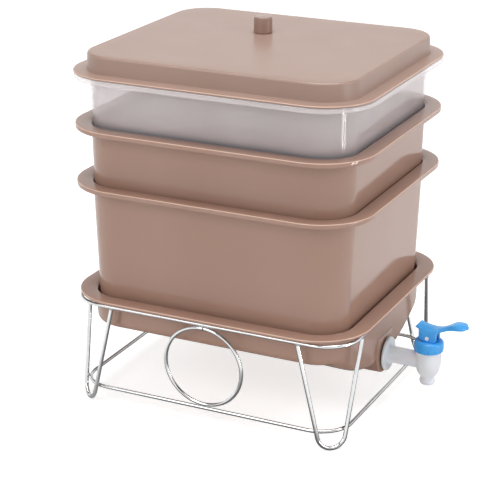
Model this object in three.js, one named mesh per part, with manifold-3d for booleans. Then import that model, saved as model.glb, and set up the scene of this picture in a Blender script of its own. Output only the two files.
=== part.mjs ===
// A stacking wormery in millimetres, +Z up, standing on z = 0. A chromed wire stand carries a
// sump with a hopper floor and a lever tap. On the sump stand a deep tray, a shallow tray, a
// clear tray and a lid, each nested in the mouth of the one below it.
import * as THREE from 'three';
import { mergeVertices } from 'three/addons/utils/BufferGeometryUtils.js';
import Module from 'manifold-3d';

const wasm = await Module();
wasm.setup();

// Seats and cuts
const seatGap = 0.3; // left between a piece and what carries it
const cutOverrun = 1; // how far a cutting body passes the face that it cuts

// The trays and the sump, seen from above
const bodyLength = 330; // outside of the walls, just under the rim
const bodyDepth = 290;
const bodyCorner = 43;
const wall = 2.5;
const rimWidth = 20; // how far the rim reaches out from the walls
const rimCorner = 66;
const deepDraftShare = 0.034; // how much a wall leans in, for each millimetre down
const shallowDraftShare = 0.02; // the same for the shallow and the clear tray
const rimEdgeRound = 1;
const trayMouthRound = 6; // between the flat of the rim and the inside of the wall
const sumpMouthRound = 4;
const floorRound = 9; // outside radius between the wall and the floor
const trayLip = 5.5; // how far the turned-down edge of a tray's rim hangs
const sumpLip = 3;

// Heights of the trays
const deepTrayHeight = 154.6;
const shallowTrayHeight = 78;
const clearTrayHeight = 69.1;
const deepNest = 18; // how deep the deep tray's floor lies in the sump's mouth
const shallowNest = 9; // how deep the two upper trays lie in the mouths below them

// Drainage holes in the tray floors
const holeDiameter = 7;
const holePitchX = 46;
const holePitchY = 52;
const holeMargin = 30; // from the edge of the floor to the outermost holes' centres

// Ribs inside a wall that carry the tray above
const ribThickness = 3;
const ribReach = 19; // from the outside of the wall into the tray
const ribSpreadX = 170; // between the two ribs on a long wall
const ribSpreadY = 140; // between the two ribs on a short wall

// The sump
const sumpEdgeDepth = 41; // from the top of the rim to the floor at the front, back and left
const hopperDrop = 41; // how much lower the floor lies at the middle of the right wall
const hopperMargin = 20; // from the front and back walls to where the fall starts
const hopperRun = 240; // from the right wall back to where the floor is level
const hopperPowerShare = 0.8; // shape of the fall across the floor, a half wave to this power
const hopperFloorShares = [0.15, 0.45, 0.75]; // rings of points that carry the fall inwards
const hopperSpans = [8, 3, 1, 3]; // pieces of the right, back, left and front runs
const gussetThickness = 3;
const gussetDrop = 2.65; // from the underside of the rim to the face that rests on the wire
const gussetShoulder = 3.4; // how far a gusset reaches down beside the wire
const gussetSpreadX = 150;
const gussetSpreadY = 110;

// The tap's pocket in the sump's right wall
const pocketWidth = 48;
const pocketLength = 27; // from the outside of its face back under the floor
const pocketProud = 1.3; // how far its face stands out from the wall's upper edge
const pocketTop = 26; // from the tap's axis up to where the face runs out
const pocketRound = 3.5;

// The wire stand
const ringWire = 4.5;
const legWire = 5;
const topRingReach = 12; // from the walls' upper edge out to the wire's middle line
const topRingCorner = 40;
const topRingHeight = 129.3; // middle of the wire above the ground
const bottomRingInsetX = 7.5; // how far its ends lie inside those of the top ring
const bottomRingInsetY = 4.5; // the same for the front and the back
const bottomRingCorner = 38;
const bottomRingHeight = 22;
const legSetbackLong = 17.5; // from the start of the top ring's bend to the leg's end, long side
const legSetbackShort = 10; // the same on the short side
const legBend = 17; // radius of the foot, on the wire's middle line
const legEndDrop = 0.5; // lowers the leg's end, which meets the ring at a slant

// The lid
const lidInset = 0.9; // how far its edge lies inside the rim below
const lidCorner = 61;
const lidSheet = 2.4;
const lidRise = 23.6; // from the underside of the rim to the top of the raised middle
const raisedProud = 2.7; // how far its foot stands out from the walls' upper edge
const raisedCorner = 43;
const raisedLean = 1; // how much its wall leans in
const raisedRound = 2.5;
const skirtClearance = 1.4; // to the wall of the tray that the skirt drops into
const skirtDepth = 5;
const skirtWall = 2.2;

// The lid's knob and its screw
const knobX = -19; // from the middle of the lid
const knobY = 44;
const knobBase = 22.8;
const knobTop = 21.7;
const knobHeight = 19.2;
const knobRound = 0.8;
const screwDiameter = 4.4;
const screwHead = 9;
const screwHeadHeight = 2.8;
const screwGrip = 12; // how far the screw reaches into the knob
const screwTip = 1.2;

// The tap, which lies on the sump's middle line
const tapDrop = 73; // from the top of the sump's rim down to the tap's axis
const flangeDiameter = 41;
const flangeThickness = 3;
const outerGasket = 1.6;
const innerGasket = 1.5;
const outerGasketDiameter = 34;
const innerGasketDiameter = 30;
const shankDiameter = 19;
const shankReach = 17.5; // from the flange through the wall into the sump
const pipeDiameter = 20;
const pipeBore = 12;
const pipeFillet = 3;
const valveReach = 51.5; // from the flange's back to the valve's axis
const chamberDiameter = 30;
const chamberNeck = 26.8; // inside the bonnet
const chamberBore = 21;
const chamberTopRise = 24.5; // from the pipe's axis up to the end of the neck
const chamberShoulder = 13.9; // from the pipe's axis up to the shoulder under the bonnet
const chamberStraight = 2; // from the pipe's axis down to where the chamber narrows
const seatTopDrop = 5.5; // from the pipe's axis down to the top of the cone that the plug closes
const seatBottomDrop = 11.5;
const chamberTaperShare = 1.4; // power that shapes the chamber's narrowing to the spout
const spoutBore = 10;
const spoutDiameter = 16.6;
const spoutNeckDrop = 17.5; // from the pipe's axis down to the spout
const spoutEndDrop = 28.5;
const spoutBead = 19;
const spoutBeadHeight = 4.5;
const spoutBeadRise = 2; // from the spout's end up to the bead

// The lock nut on the tap's shank
const nutDiameter = 31;
const nutThickness = 7;
const nutCollarDiameter = 26;
const nutCollarLength = 2;

// The bonnet that closes the valve
const bonnetDiameter = 35;
const bonnetHeight = 13.2;
const bonnetTopPlate = 2.6;
const bonnetTopChamfer = 2;
const bonnetBottomChamfer = 1.3;
const bonnetNotches = 12;
const bonnetNotchDiameter = 3;
const bonnetNotchHeight = 5;
const bonnetNotchDepth = 0.6;

// The stem, its cross pin and its plug
const stemDiameter = 6;
const stemHead = 7.2;
const stemHeadRise = 2.4; // above the cross pin's axis
const crossPinDiameter = 5;
const crossPinProud = 0.5; // beyond the lever's cheeks
const crossPinRise = 4.4; // from the bonnet's top to the cross pin's axis
const plugHeight = 7;
const plugTopRound = 0.8;
const stemPlugDepth = 5; // how far the stem reaches into the plug

// The lever, measured from the cross pin's axis
const leverWidth = 18;
const cheekFront = 10.5; // towards the paddle
const cheekBack = 10.4;
const cheekSoleRise = 4.1; // from the sole to the pin's axis
const cheekSoleBack = 3.5;
const cheekHeelRise = 3.6; // how far the back of the sole is raised
const cheekToeRound = 1.2;
const cheekShoulder = 7.4; // where the arm leaves the cheeks
const noseReach = 15;
const noseTop = 15.4;
const noseDepth = 2.4;
const noseUnder = 10.6;
const saddleTop = 11;
const saddleReach = 6;
const saddleSweep = 1.2; // how far the curves on either side overshoot the saddle
const armTop = 16.4;
const armReach = 21.5;
const armThickness = 4.8;
const armWidth = 9;
const paddleTop = 20.9;
const paddleReach = 47.5;
const paddleStart = 30;
const paddleUnder = 14.9; // underside where the paddle starts
const paddleArch = 2.4; // how much the underside rises towards the tip
const paddleTipDrop = 1.2;
const paddleTipThickness = 2.6;
const paddleWidth = 18.8;
const slotWidth = 8.6; // between the cheeks
const slotTop = 4.6;
const slotBack = 6.4;

// Numbers of faces round things
const cornerSteps = 6; // in a quarter turn of an outline
const edgeSteps = 2; // in the rounding of an edge
const wireSides = 8;
const circleSteps = 26;
const legBendSteps = 8;
const turnedSides = 20;
const holeSides = 6;
const boreSides = 16;
const leverCurveSteps = 4;
const taperSteps = 4; // in the chamber's narrowing to the spout

// Sizes and places that follow from those above
const rimLength = bodyLength + 2 * rimWidth;
const rimDepth = bodyDepth + 2 * rimWidth;
const topRingLength = bodyLength + 2 * topRingReach;
const topRingDepth = bodyDepth + 2 * topRingReach;
const bottomRingLength = topRingLength - 2 * bottomRingInsetX;
const bottomRingDepth = topRingDepth - 2 * bottomRingInsetY;
const pocketFace = bodyLength / 2 + pocketProud;
const leverTip = pocketFace + seatGap * 2 + outerGasket + valveReach + paddleReach;
const middleX = (rimLength / 2 - leverTip) / 2; // sets the whole part about x = 0
const sumpTop = topRingHeight + ringWire / 2 + seatGap + gussetDrop + wall;
const deepTrayBase = sumpTop - deepNest;
const shallowTrayBase = deepTrayBase + deepTrayHeight - shallowNest;
const clearTrayBase = shallowTrayBase + shallowTrayHeight - shallowNest;
const lidBase = clearTrayBase + clearTrayHeight + seatGap;
const tapAxisZ = sumpTop - tapDrop;
const flangeBack = pocketFace + seatGap * 2 + outerGasket;
const valveX = flangeBack + valveReach;
const chamberShoulderZ = tapAxisZ + chamberShoulder;
const bonnetBottom = chamberShoulderZ + seatGap;
const bonnetTop = bonnetBottom + bonnetHeight;
const crossPinZ = bonnetTop + crossPinRise;

const brownPlastic = new THREE.MeshStandardMaterial({ color: 0xa58876, roughness: 0.38 });
const lidPlastic = new THREE.MeshStandardMaterial({ color: 0xb9a093, roughness: 0.5 });
const clearPlastic = new THREE.MeshStandardMaterial({
  color: 0xc9c6c4, roughness: 0.3, transparent: true, opacity: 0.45,
});
const chrome = new THREE.MeshStandardMaterial({ color: 0xc8c9cb, roughness: 0.15, metalness: 1 });
const steel = new THREE.MeshStandardMaterial({ color: 0x9a9b9d, roughness: 0.35, metalness: 1 });
const whitePlastic = new THREE.MeshStandardMaterial({ color: 0xe4e6ec, roughness: 0.35 });
const bluePlastic = new THREE.MeshStandardMaterial({ color: 0x4ea3ea, roughness: 0.35 });
const rubber = new THREE.MeshStandardMaterial({ color: 0x3a3a3c, roughness: 0.8 });
const silicone = new THREE.MeshStandardMaterial({ color: 0xdcdcd8, roughness: 0.6 });

// Turns a closed geometry into a solid that can be cut and joined.
function solidOf(geometry, matrix = new THREE.Matrix4()) {
  const bare = geometry.clone().applyMatrix4(matrix);
  bare.deleteAttribute('normal');
  bare.deleteAttribute('uv');
  const merged = mergeVertices(bare);
  const mesh = new wasm.Mesh({
    numProp: 3,
    vertProperties: new Float32Array(merged.attributes.position.array),
    triVerts: new Uint32Array(merged.index.array),
  });
  return new wasm.Manifold(mesh);
}

function joined(solids) {
  return solids.reduce((sum, solid) => sum.add(solid));
}

function meshOf(name, solid, material) {
  const { vertProperties, triVerts } = solid.getMesh();
  const geometry = new THREE.BufferGeometry();
  geometry.setAttribute('position', new THREE.BufferAttribute(new Float32Array(vertProperties), 3));
  geometry.setIndex(new THREE.BufferAttribute(new Uint32Array(triVerts), 1));
  geometry.computeVertexNormals();
  const mesh = new THREE.Mesh(geometry, material);
  mesh.name = name;
  return mesh;
}

function moved(x, y, z) {
  return new THREE.Matrix4().makeTranslation(x, y, z);
}

function box(fromX, toX, fromY, toY, fromZ, toZ) {
  const geometry = new THREE.BoxGeometry(toX - fromX, toY - fromY, toZ - fromZ);
  return solidOf(geometry, moved((fromX + toX) / 2, (fromY + toY) / 2, (fromZ + toZ) / 2));
}

// A body turned about +Z. The profile is a list of [radius, z] and closes on itself.
function turned(profile, sides = turnedSides) {
  const points = profile.map(([radius, z]) => new THREE.Vector2(radius, z));
  if (profile[0][0] > 0 || profile.at(-1)[0] > 0) {
    points.push(points[0].clone());
  }
  const upright = new THREE.Matrix4().makeRotationX(Math.PI / 2);
  return solidOf(new THREE.LatheGeometry(points, sides), upright);
}

// A flat outline of [x, z] points, given a width along Y and centred on y = 0.
function extrudedAcross(points, width) {
  const shape = new THREE.Shape(points.map(([x, z]) => new THREE.Vector2(x, z)));
  const geometry = new THREE.ExtrudeGeometry(shape, { depth: width, bevelEnabled: false });
  const standing = new THREE.Matrix4().makeRotationX(Math.PI / 2);
  return solidOf(geometry, moved(0, width / 2, 0).multiply(standing));
}

// A flat shape whose x and y lie along Y and Z, given a length along X.
function extrudedAlong(shape, from, to) {
  const depth = to - from;
  const geometry = new THREE.ExtrudeGeometry(shape, {
    depth, bevelEnabled: false, curveSegments: boreSides,
  });
  const turn = new THREE.Matrix4().makeBasis(
    new THREE.Vector3(0, 1, 0), new THREE.Vector3(0, 0, 1), new THREE.Vector3(1, 0, 0));
  return solidOf(geometry, moved(from, 0, 0).multiply(turn));
}

// Rounded rectangle as a ring of points, counter-clockwise from the lower right bend's start.
// spans gives how many pieces the right, back, left and front runs are divided into.
function outline(halfX, halfY, corner, spans = [1, 1, 1, 1]) {
  const centres = [[1, 1, 0], [-1, 1, 1], [-1, -1, 2], [1, -1, 3]];
  const bends = centres.map(([signX, signY, quarter]) => {
    const centre = new THREE.Vector2(signX * (halfX - corner), signY * (halfY - corner));
    return Array.from({ length: cornerSteps + 1 }, (_, step) => {
      const angle = (quarter + step / cornerSteps) * Math.PI / 2;
      const outward = new THREE.Vector2(Math.cos(angle), Math.sin(angle));
      return centre.clone().addScaledVector(outward, corner);
    });
  });
  return bends.flatMap((bend, index) => {
    const before = bends[(index + 3) % 4].at(-1);
    const run = Array.from({ length: spans[index] - 1 }, (_, step) =>
      before.clone().lerp(bend[0], (step + 1) / spans[index]));
    return [...run, ...bend];
  });
}

// A closed body through rings of equal count, from its underside upwards, with flat ends.
function loft(rings) {
  const count = rings[0].length;
  const points = rings.flat();
  const ends = [rings[0], rings.at(-1)].map((ring) =>
    ring.reduce((sum, point) => sum.add(point), new THREE.Vector3()).divideScalar(count));
  const indices = [];
  for (let ring = 0; ring + 1 < rings.length; ring += 1) {
    for (let side = 0; side < count; side += 1) {
      const next = (side + 1) % count;
      const [a, b] = [ring * count + side, ring * count + next];
      indices.push(a, b, b + count, a, b + count, a + count);
    }
  }
  const top = (rings.length - 1) * count;
  for (let side = 0; side < count; side += 1) {
    const next = (side + 1) % count;
    indices.push(points.length, next, side, points.length + 1, top + side, top + next);
  }
  const geometry = new THREE.BufferGeometry().setFromPoints([...points, ...ends]);
  geometry.setIndex(indices);
  return solidOf(geometry);
}

// A stage of a tub is [half length, half depth, corner, height]; its ring can be let down by a
// function of the place, which shapes a hopper floor.
function stageRing([halfX, halfY, corner, z], spans, fall = () => 0) {
  return outline(halfX, halfY, corner, spans).map(({ x, y }) => new THREE.Vector3(x, y, z - fall(x, y)));
}

// The same inset on both half sizes and on the corner.
function inset([halfX, halfY, corner], amount) {
  return [halfX - amount, halfY - amount, corner - amount];
}

const rimOutline = [rimLength / 2, rimDepth / 2, rimCorner];
const bodyOutline = [bodyLength / 2, bodyDepth / 2, bodyCorner];

function quarterArc(steps, make) {
  return Array.from({ length: steps + 1 }, (_, step) => make(step / steps * Math.PI / 2));
}

// Stages of the outside of a tub whose floor is at base and whose rim's top is at top.
function tubOutside({ base, top, lip, draft }) {
  const wallInset = (z) => (top - wall - z) * draft;
  const footInset = wallInset(base + floorRound);
  const foot = quarterArc(edgeSteps, (angle) => [
    ...inset(bodyOutline, footInset + floorRound * (1 - Math.sin(angle))),
    base + floorRound * (1 - Math.cos(angle)),
  ]);
  const edge = quarterArc(edgeSteps, (angle) => [
    ...inset(rimOutline, rimEdgeRound * (1 - Math.cos(angle))),
    top - rimEdgeRound * (1 - Math.sin(angle)),
  ]);
  return {
    foot,
    rim: [
      [...bodyOutline, top - wall],
      [...inset(rimOutline, wall), top - wall],
      [...inset(rimOutline, wall), top - lip],
      [...rimOutline, top - lip],
      ...edge,
    ],
  };
}

// Stages of the hollow inside a tub, running out through the mouth.
function tubInside({ base, top, draft, mouthRound }) {
  const wallInset = (z) => (top - wall - z) * draft + wall;
  const round = floorRound - wall;
  const foot = quarterArc(edgeSteps, (angle) => [
    ...inset(bodyOutline, wallInset(base + floorRound) + round * (1 - Math.sin(angle))),
    base + wall + round * (1 - Math.cos(angle)),
  ]);
  const mouth = quarterArc(edgeSteps, (angle) => [
    ...inset(bodyOutline, wall - mouthRound * (1 - Math.cos(angle))),
    top - mouthRound * (1 - Math.sin(angle)),
  ]);
  const [halfX, halfY, corner] = mouth.at(-1);
  return { foot, mouth: [...mouth, [halfX, halfY, corner, top + cutOverrun]] };
}

// Upright ribs inside the walls, with their tops where the next tray's floor comes to rest.
function stackingRibs(base, ribTop) {
  const [halfX, halfY] = [bodyLength / 2, bodyDepth / 2];
  const ribs = [];
  for (const sign of [-1, 1]) {
    for (const side of [-1, 1]) {
      const x = side * ribSpreadX / 2;
      const y = side * ribSpreadY / 2;
      const [nearY, farY] = [sign * halfY, sign * (halfY - ribReach)].sort((a, b) => a - b);
      const [nearX, farX] = [sign * halfX, sign * (halfX - ribReach)].sort((a, b) => a - b);
      ribs.push(box(x - ribThickness / 2, x + ribThickness / 2, nearY, farY, base, ribTop));
      ribs.push(box(nearX, farX, y - ribThickness / 2, y + ribThickness / 2, base, ribTop));
    }
  }
  return joined(ribs);
}

function drainageHoles({ base, top, draft }) {
  const footInset = (top - wall - base) * draft + floorRound + holeMargin;
  const columns = Math.floor((bodyLength - 2 * footInset) / holePitchX);
  const rows = Math.floor((bodyDepth - 2 * footInset) / holePitchY);
  const height = wall + 2 * cutOverrun;
  const drill = new THREE.CylinderGeometry(holeDiameter / 2, holeDiameter / 2, height, holeSides);
  drill.rotateX(Math.PI / 2);
  const holes = [];
  for (let column = 0; column <= columns; column += 1) {
    for (let row = 0; row <= rows; row += 1) {
      const x = (column - columns / 2) * holePitchX;
      const y = (row - rows / 2) * holePitchY;
      holes.push(solidOf(drill, moved(x, y, base + wall / 2)));
    }
  }
  return joined(holes);
}

function tray(base, height, draft, hasRibs) {
  const top = base + height;
  const tub = { base, top, draft, lip: trayLip, mouthRound: trayMouthRound };
  const outside = tubOutside(tub);
  const inside = tubInside(tub);
  const filled = loft([...outside.foot, ...outside.rim].map((stage) => stageRing(stage)));
  const hollow = loft([...inside.foot, ...inside.mouth].map((stage) => stageRing(stage)));
  const shell = filled.subtract(hollow);
  const ribs = stackingRibs(base, top - shallowNest - seatGap);
  const ribbed = hasRibs ? shell.add(ribs.intersect(filled)) : shell;
  return ribbed.subtract(drainageHoles(tub));
}

// How far the sump's floor lies below its edge: nothing at the left, front and back, growing
// towards the middle of the right wall.
function hopperFall(x, y) {
  const wallX = bodyLength / 2;
  const along = THREE.MathUtils.smoothstep(x, wallX - hopperRun, wallX - floorRound);
  const halfWidth = bodyDepth / 2 - hopperMargin;
  const across = Math.abs(y) < halfWidth ? Math.cos(y / halfWidth * Math.PI / 2) : 0;
  return hopperDrop * along * across ** hopperPowerShare;
}

// A tub whose foot and floor follow the hopper's fall.
function hopperLoft(foot, rest) {
  const [halfX, halfY, corner, z] = foot[0];
  const floor = hopperFloorShares.map((share) => [halfX * share, halfY * share, corner * share, z]);
  const sunk = [...floor, ...foot].map((stage) => stageRing(stage, hopperSpans, hopperFall));
  return loft([...sunk, ...rest.map((stage) => stageRing(stage, hopperSpans))]);
}

// The tap's pocket, drawn in by the given thickness: a U that is concentric with the tap's
// flange, with its lower and upper edges eased towards the wall.
function tapPocket(thickness) {
  const face = pocketFace - thickness;
  const back = pocketFace - pocketLength + thickness;
  const half = pocketWidth / 2 - thickness;
  const bottom = tapAxisZ - half;
  const top = tapAxisZ + pocketTop - thickness;
  const round = pocketRound - thickness / 2;
  const side = extrudedAcross([
    [back, bottom], [face - round, bottom], [face, bottom + round],
    [face, top - 2 * round], [face - round, top], [back, top],
  ], 2 * half);
  const shape = new THREE.Shape();
  shape.moveTo(half, top);
  shape.lineTo(-half, top);
  shape.absarc(0, tapAxisZ, half, Math.PI, 2 * Math.PI, false);
  return side.intersect(extrudedAlong(shape, back, face));
}

// Short webs under the sump's rim. They rest on the top ring and keep it from sliding.
function rimGussets() {
  const under = sumpTop - wall;
  const gusset = (wallAt, wireAt) => {
    const inner = wireAt - ringWire / 2 - seatGap;
    const outer = wireAt + ringWire / 2;
    return extrudedAcross([
      [wallAt - wall, under + wall / 2], [outer, under + wall / 2], [outer, under - gussetDrop],
      [inner, under - gussetDrop], [inner, under - gussetDrop - gussetShoulder],
      [wallAt - wall, under - gussetDrop - gussetShoulder],
    ], gussetThickness);
  };
  const sideGusset = gusset(bodyLength / 2, topRingLength / 2);
  const frontGusset = gusset(bodyDepth / 2, topRingDepth / 2);
  const webs = [];
  for (const sign of [-1, 1]) {
    for (const turn of [0, 180]) {
      webs.push(sideGusset.rotate([0, 0, turn]).translate([0, sign * gussetSpreadY / 2, 0]));
      webs.push(frontGusset.rotate([0, 0, turn + 90]).translate([sign * gussetSpreadX / 2, 0, 0]));
    }
  }
  return joined(webs);
}

function sumpTray() {
  const base = sumpTop - sumpEdgeDepth;
  const tub = {
    base, top: sumpTop, draft: deepDraftShare, lip: sumpLip, mouthRound: sumpMouthRound,
  };
  const outside = tubOutside(tub);
  const inside = tubInside(tub);
  const filled = hopperLoft(outside.foot, outside.rim).add(tapPocket(0));
  const hollow = hopperLoft(inside.foot, inside.mouth).add(tapPocket(wall));
  const deepest = tapAxisZ - pocketWidth / 2;
  const ribs = stackingRibs(deepest, deepTrayBase - seatGap).intersect(filled);
  const boreRadius = shankDiameter / 2 + seatGap;
  const bore = turned([
    [0, pocketFace - 2 * wall], [boreRadius, pocketFace - 2 * wall],
    [boreRadius, pocketFace + cutOverrun], [0, pocketFace + cutOverrun],
  ], boreSides);
  const shankHole = bore.rotate([0, 90, 0]).translate([0, 0, tapAxisZ]);
  return filled.subtract(hollow).add(ribs).add(rimGussets()).subtract(shankHole);
}

function lid() {
  const flange = [rimLength / 2 - lidInset, rimDepth / 2 - lidInset, lidCorner];
  const raised = [bodyLength / 2 + raisedProud, bodyDepth / 2 + raisedProud, raisedCorner];
  const skirt = inset(bodyOutline, wall + skirtClearance);
  const half = lidSheet / 2;
  const flangeTop = lidBase + lidSheet;
  const top = lidBase + lidRise;
  const crown = quarterArc(edgeSteps, (angle) => [
    ...inset(raised, raisedLean + raisedRound * (1 - Math.cos(angle))),
    top - raisedRound * (1 - Math.sin(angle)),
  ]);
  const filled = loft([
    [...skirt, lidBase - skirtDepth],
    [...skirt, lidBase],
    [...inset(flange, half / 2), lidBase],
    [...flange, lidBase + half],
    [...inset(flange, half / 2), flangeTop],
    [...inset(raised, -half), flangeTop],
    [...raised, flangeTop + half],
    ...crown,
  ].map((stage) => stageRing(stage)));
  const ceiling = inset(raised, raisedLean + lidSheet);
  const hollow = loft([
    [...inset(skirt, skirtWall), lidBase - skirtDepth - cutOverrun],
    [...inset(skirt, skirtWall), flangeTop],
    [...inset(raised, lidSheet), flangeTop],
    [...ceiling, top - raisedRound - half],
    [...inset(ceiling, raisedRound - half), top - lidSheet],
  ].map((stage) => stageRing(stage)));
  const hole = turned([
    [0, top - lidSheet - cutOverrun], [screwDiameter / 2 + seatGap, top - lidSheet - cutOverrun],
    [screwDiameter / 2 + seatGap, top + cutOverrun], [0, top + cutOverrun],
  ], boreSides);
  return filled.subtract(hollow).subtract(hole.translate([knobX, knobY, 0]));
}

function knob() {
  const base = lidBase + lidRise + seatGap;
  const top = base + knobHeight;
  const hole = screwDiameter / 2 + seatGap;
  const holeTop = base + screwGrip + screwTip;
  return turned([
    [0, holeTop], [hole, holeTop - hole / 2], [hole, base], [knobBase / 2, base],
    [knobTop / 2, top - knobRound], [knobTop / 2 - knobRound, top], [0, top],
  ]).translate([knobX, knobY, 0]);
}

function knobScrew() {
  const head = lidBase + lidRise - lidSheet - seatGap;
  const tip = lidBase + lidRise + seatGap + screwGrip;
  const radius = screwDiameter / 2;
  return turned([
    [0, head - screwHeadHeight], [screwHead / 2 - radius / 2, head - screwHeadHeight],
    [screwHead / 2, head - screwHeadHeight / 2], [screwHead / 2, head],
    [radius, head], [radius, tip - radius], [0, tip],
  ], boreSides).translate([knobX, knobY, 0]);
}

// A wire's middle line, with its own stations and directions, which may be unevenly spaced.
class WirePath extends THREE.CatmullRomCurve3 {
  constructor(points, directions, closed) {
    super(points, closed);
    this.directions = directions;
  }

  getPointAt(share) {
    return this.points[this.stationAt(share)].clone();
  }

  getTangentAt(share) {
    return this.directions[this.stationAt(share)].clone().normalize();
  }

  stationAt(share) {
    const steps = this.closed ? this.points.length : this.points.length - 1;
    return Math.round(share * steps) % this.points.length;
  }
}

function wire(points, directions, diameter, closed) {
  const section = new THREE.Shape();
  section.setFromPoints(Array.from({ length: wireSides }, (_, side) => {
    const angle = (side + 0.5) / wireSides * 2 * Math.PI;
    return new THREE.Vector2(Math.cos(angle), Math.sin(angle)).multiplyScalar(diameter / 2);
  }));
  const steps = closed ? points.length : points.length - 1;
  const extrudePath = new WirePath(points, directions, closed);
  const geometry = new THREE.ExtrudeGeometry(section, { steps, extrudePath, bevelEnabled: false });
  if (closed) {
    const { start, count } = geometry.groups[1];
    const sides = geometry.attributes.position.array.slice(start * 3, (start + count) * 3);
    geometry.setAttribute('position', new THREE.BufferAttribute(sides, 3));
  }
  return solidOf(geometry);
}

function wireRing(length, depth, corner, z) {
  const ring = outline(length / 2, depth / 2, corner);
  const points = ring.map(({ x, y }) => new THREE.Vector3(x, y, z));
  const directions = ring.map((_, index) => {
    const bend = Math.floor(index / (cornerSteps + 1));
    const angle = (bend + 1 + (index % (cornerSteps + 1)) / cornerSteps) * Math.PI / 2;
    return new THREE.Vector3(Math.cos(angle), Math.sin(angle), 0);
  });
  return wire(points, directions, ringWire, true);
}

// A circle between the two rings, leaning from the top ring's run to the bottom ring's.
function wireCircle(sign) {
  const high = new THREE.Vector3(0, sign * topRingDepth / 2, topRingHeight);
  const low = new THREE.Vector3(0, sign * bottomRingDepth / 2, bottomRingHeight);
  const radius = high.distanceTo(low) / 2 - ringWire - seatGap;
  const centre = high.clone().lerp(low, 0.5);
  const upward = high.clone().sub(low).normalize();
  const sideways = new THREE.Vector3(1, 0, 0);
  const at = (angle) => sideways.clone().multiplyScalar(Math.cos(angle))
    .addScaledVector(upward, Math.sin(angle));
  const angles = Array.from({ length: circleSteps }, (_, step) => step / circleSteps * 2 * Math.PI);
  const points = angles.map((angle) => centre.clone().addScaledVector(at(angle), radius));
  const directions = angles.map((angle) => at(angle + Math.PI / 2));
  return wire(points, directions, ringWire, true);
}

// A hairpin across a corner: from the top ring's long run down outside the bottom ring, round
// the foot, and up to the top ring's short run.
function wireLeg(signX, signY) {
  const drop = ringWire / 2 + seatGap + legEndDrop;
  const endX = topRingLength / 2 - topRingCorner - legSetbackLong;
  const endY = topRingDepth / 2 - topRingCorner - legSetbackShort;
  const topZ = topRingHeight - drop;
  const longEnd = new THREE.Vector3(signX * endX, signY * topRingDepth / 2, topZ);
  const shortEnd = new THREE.Vector3(signX * topRingLength / 2, signY * endY, topZ);
  const across = shortEnd.clone().sub(longEnd).normalize();
  const outward = new THREE.Vector3(signX * Math.abs(across.y), signY * Math.abs(across.x), 0);
  const bendCentre = new THREE.Vector3(
    signX * (bottomRingLength / 2 - bottomRingCorner),
    signY * (bottomRingDepth / 2 - bottomRingCorner),
    bottomRingHeight,
  );
  // The leg passes the bottom ring's bend with its two sides as far out as the wires need.
  const reach = bottomRingCorner + (ringWire + legWire) / 2 + seatGap;
  const passing = bendCentre.clone().addScaledVector(outward, Math.sqrt(reach ** 2 - legBend ** 2));
  const middle = longEnd.clone().lerp(shortEnd, 0.5);
  const slide = passing.clone().sub(middle).dot(across);
  const down = passing.clone().sub(middle).addScaledVector(across, -slide).normalize();
  const footLength = (topZ - legWire / 2) / -down.z - legBend;
  const footCentre = middle.clone().addScaledVector(down, footLength).addScaledVector(across, slide);
  // Each side runs straight from its end until it touches the foot's bend.
  const tangentAngle = (end, side) => {
    const offset = end.clone().sub(footCentre);
    const [alongAcross, alongDown] = [offset.dot(across) * side, -offset.dot(down)];
    return Math.atan2(alongDown, alongAcross) - Math.acos(legBend / Math.hypot(alongAcross, alongDown));
  };
  const longAngle = tangentAngle(longEnd, -1);
  const shortAngle = tangentAngle(shortEnd, 1);
  const radial = (angle) => across.clone().multiplyScalar(Math.cos(angle))
    .addScaledVector(down, -Math.sin(angle));
  const from = Math.PI - longAngle;
  const to = 2 * Math.PI + shortAngle;
  const angles = Array.from({ length: legBendSteps + 1 }, (_, step) =>
    THREE.MathUtils.lerp(from, to, step / legBendSteps));
  const bend = angles.map((angle) => footCentre.clone().addScaledVector(radial(angle), legBend));
  const turning = angles.map((angle) => radial(angle + Math.PI / 2));
  const points = [longEnd, ...bend, shortEnd];
  const directions = [turning[0], ...turning, turning.at(-1)];
  return wire(points, directions, legWire, false);
}

// A profile of [radius, x] turned about the tap's axis, which runs along X.
function turnedOnTapAxis(profile, sides) {
  return turned(profile, sides).rotate([0, 90, 0]).translate([0, 0, tapAxisZ]);
}

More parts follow.
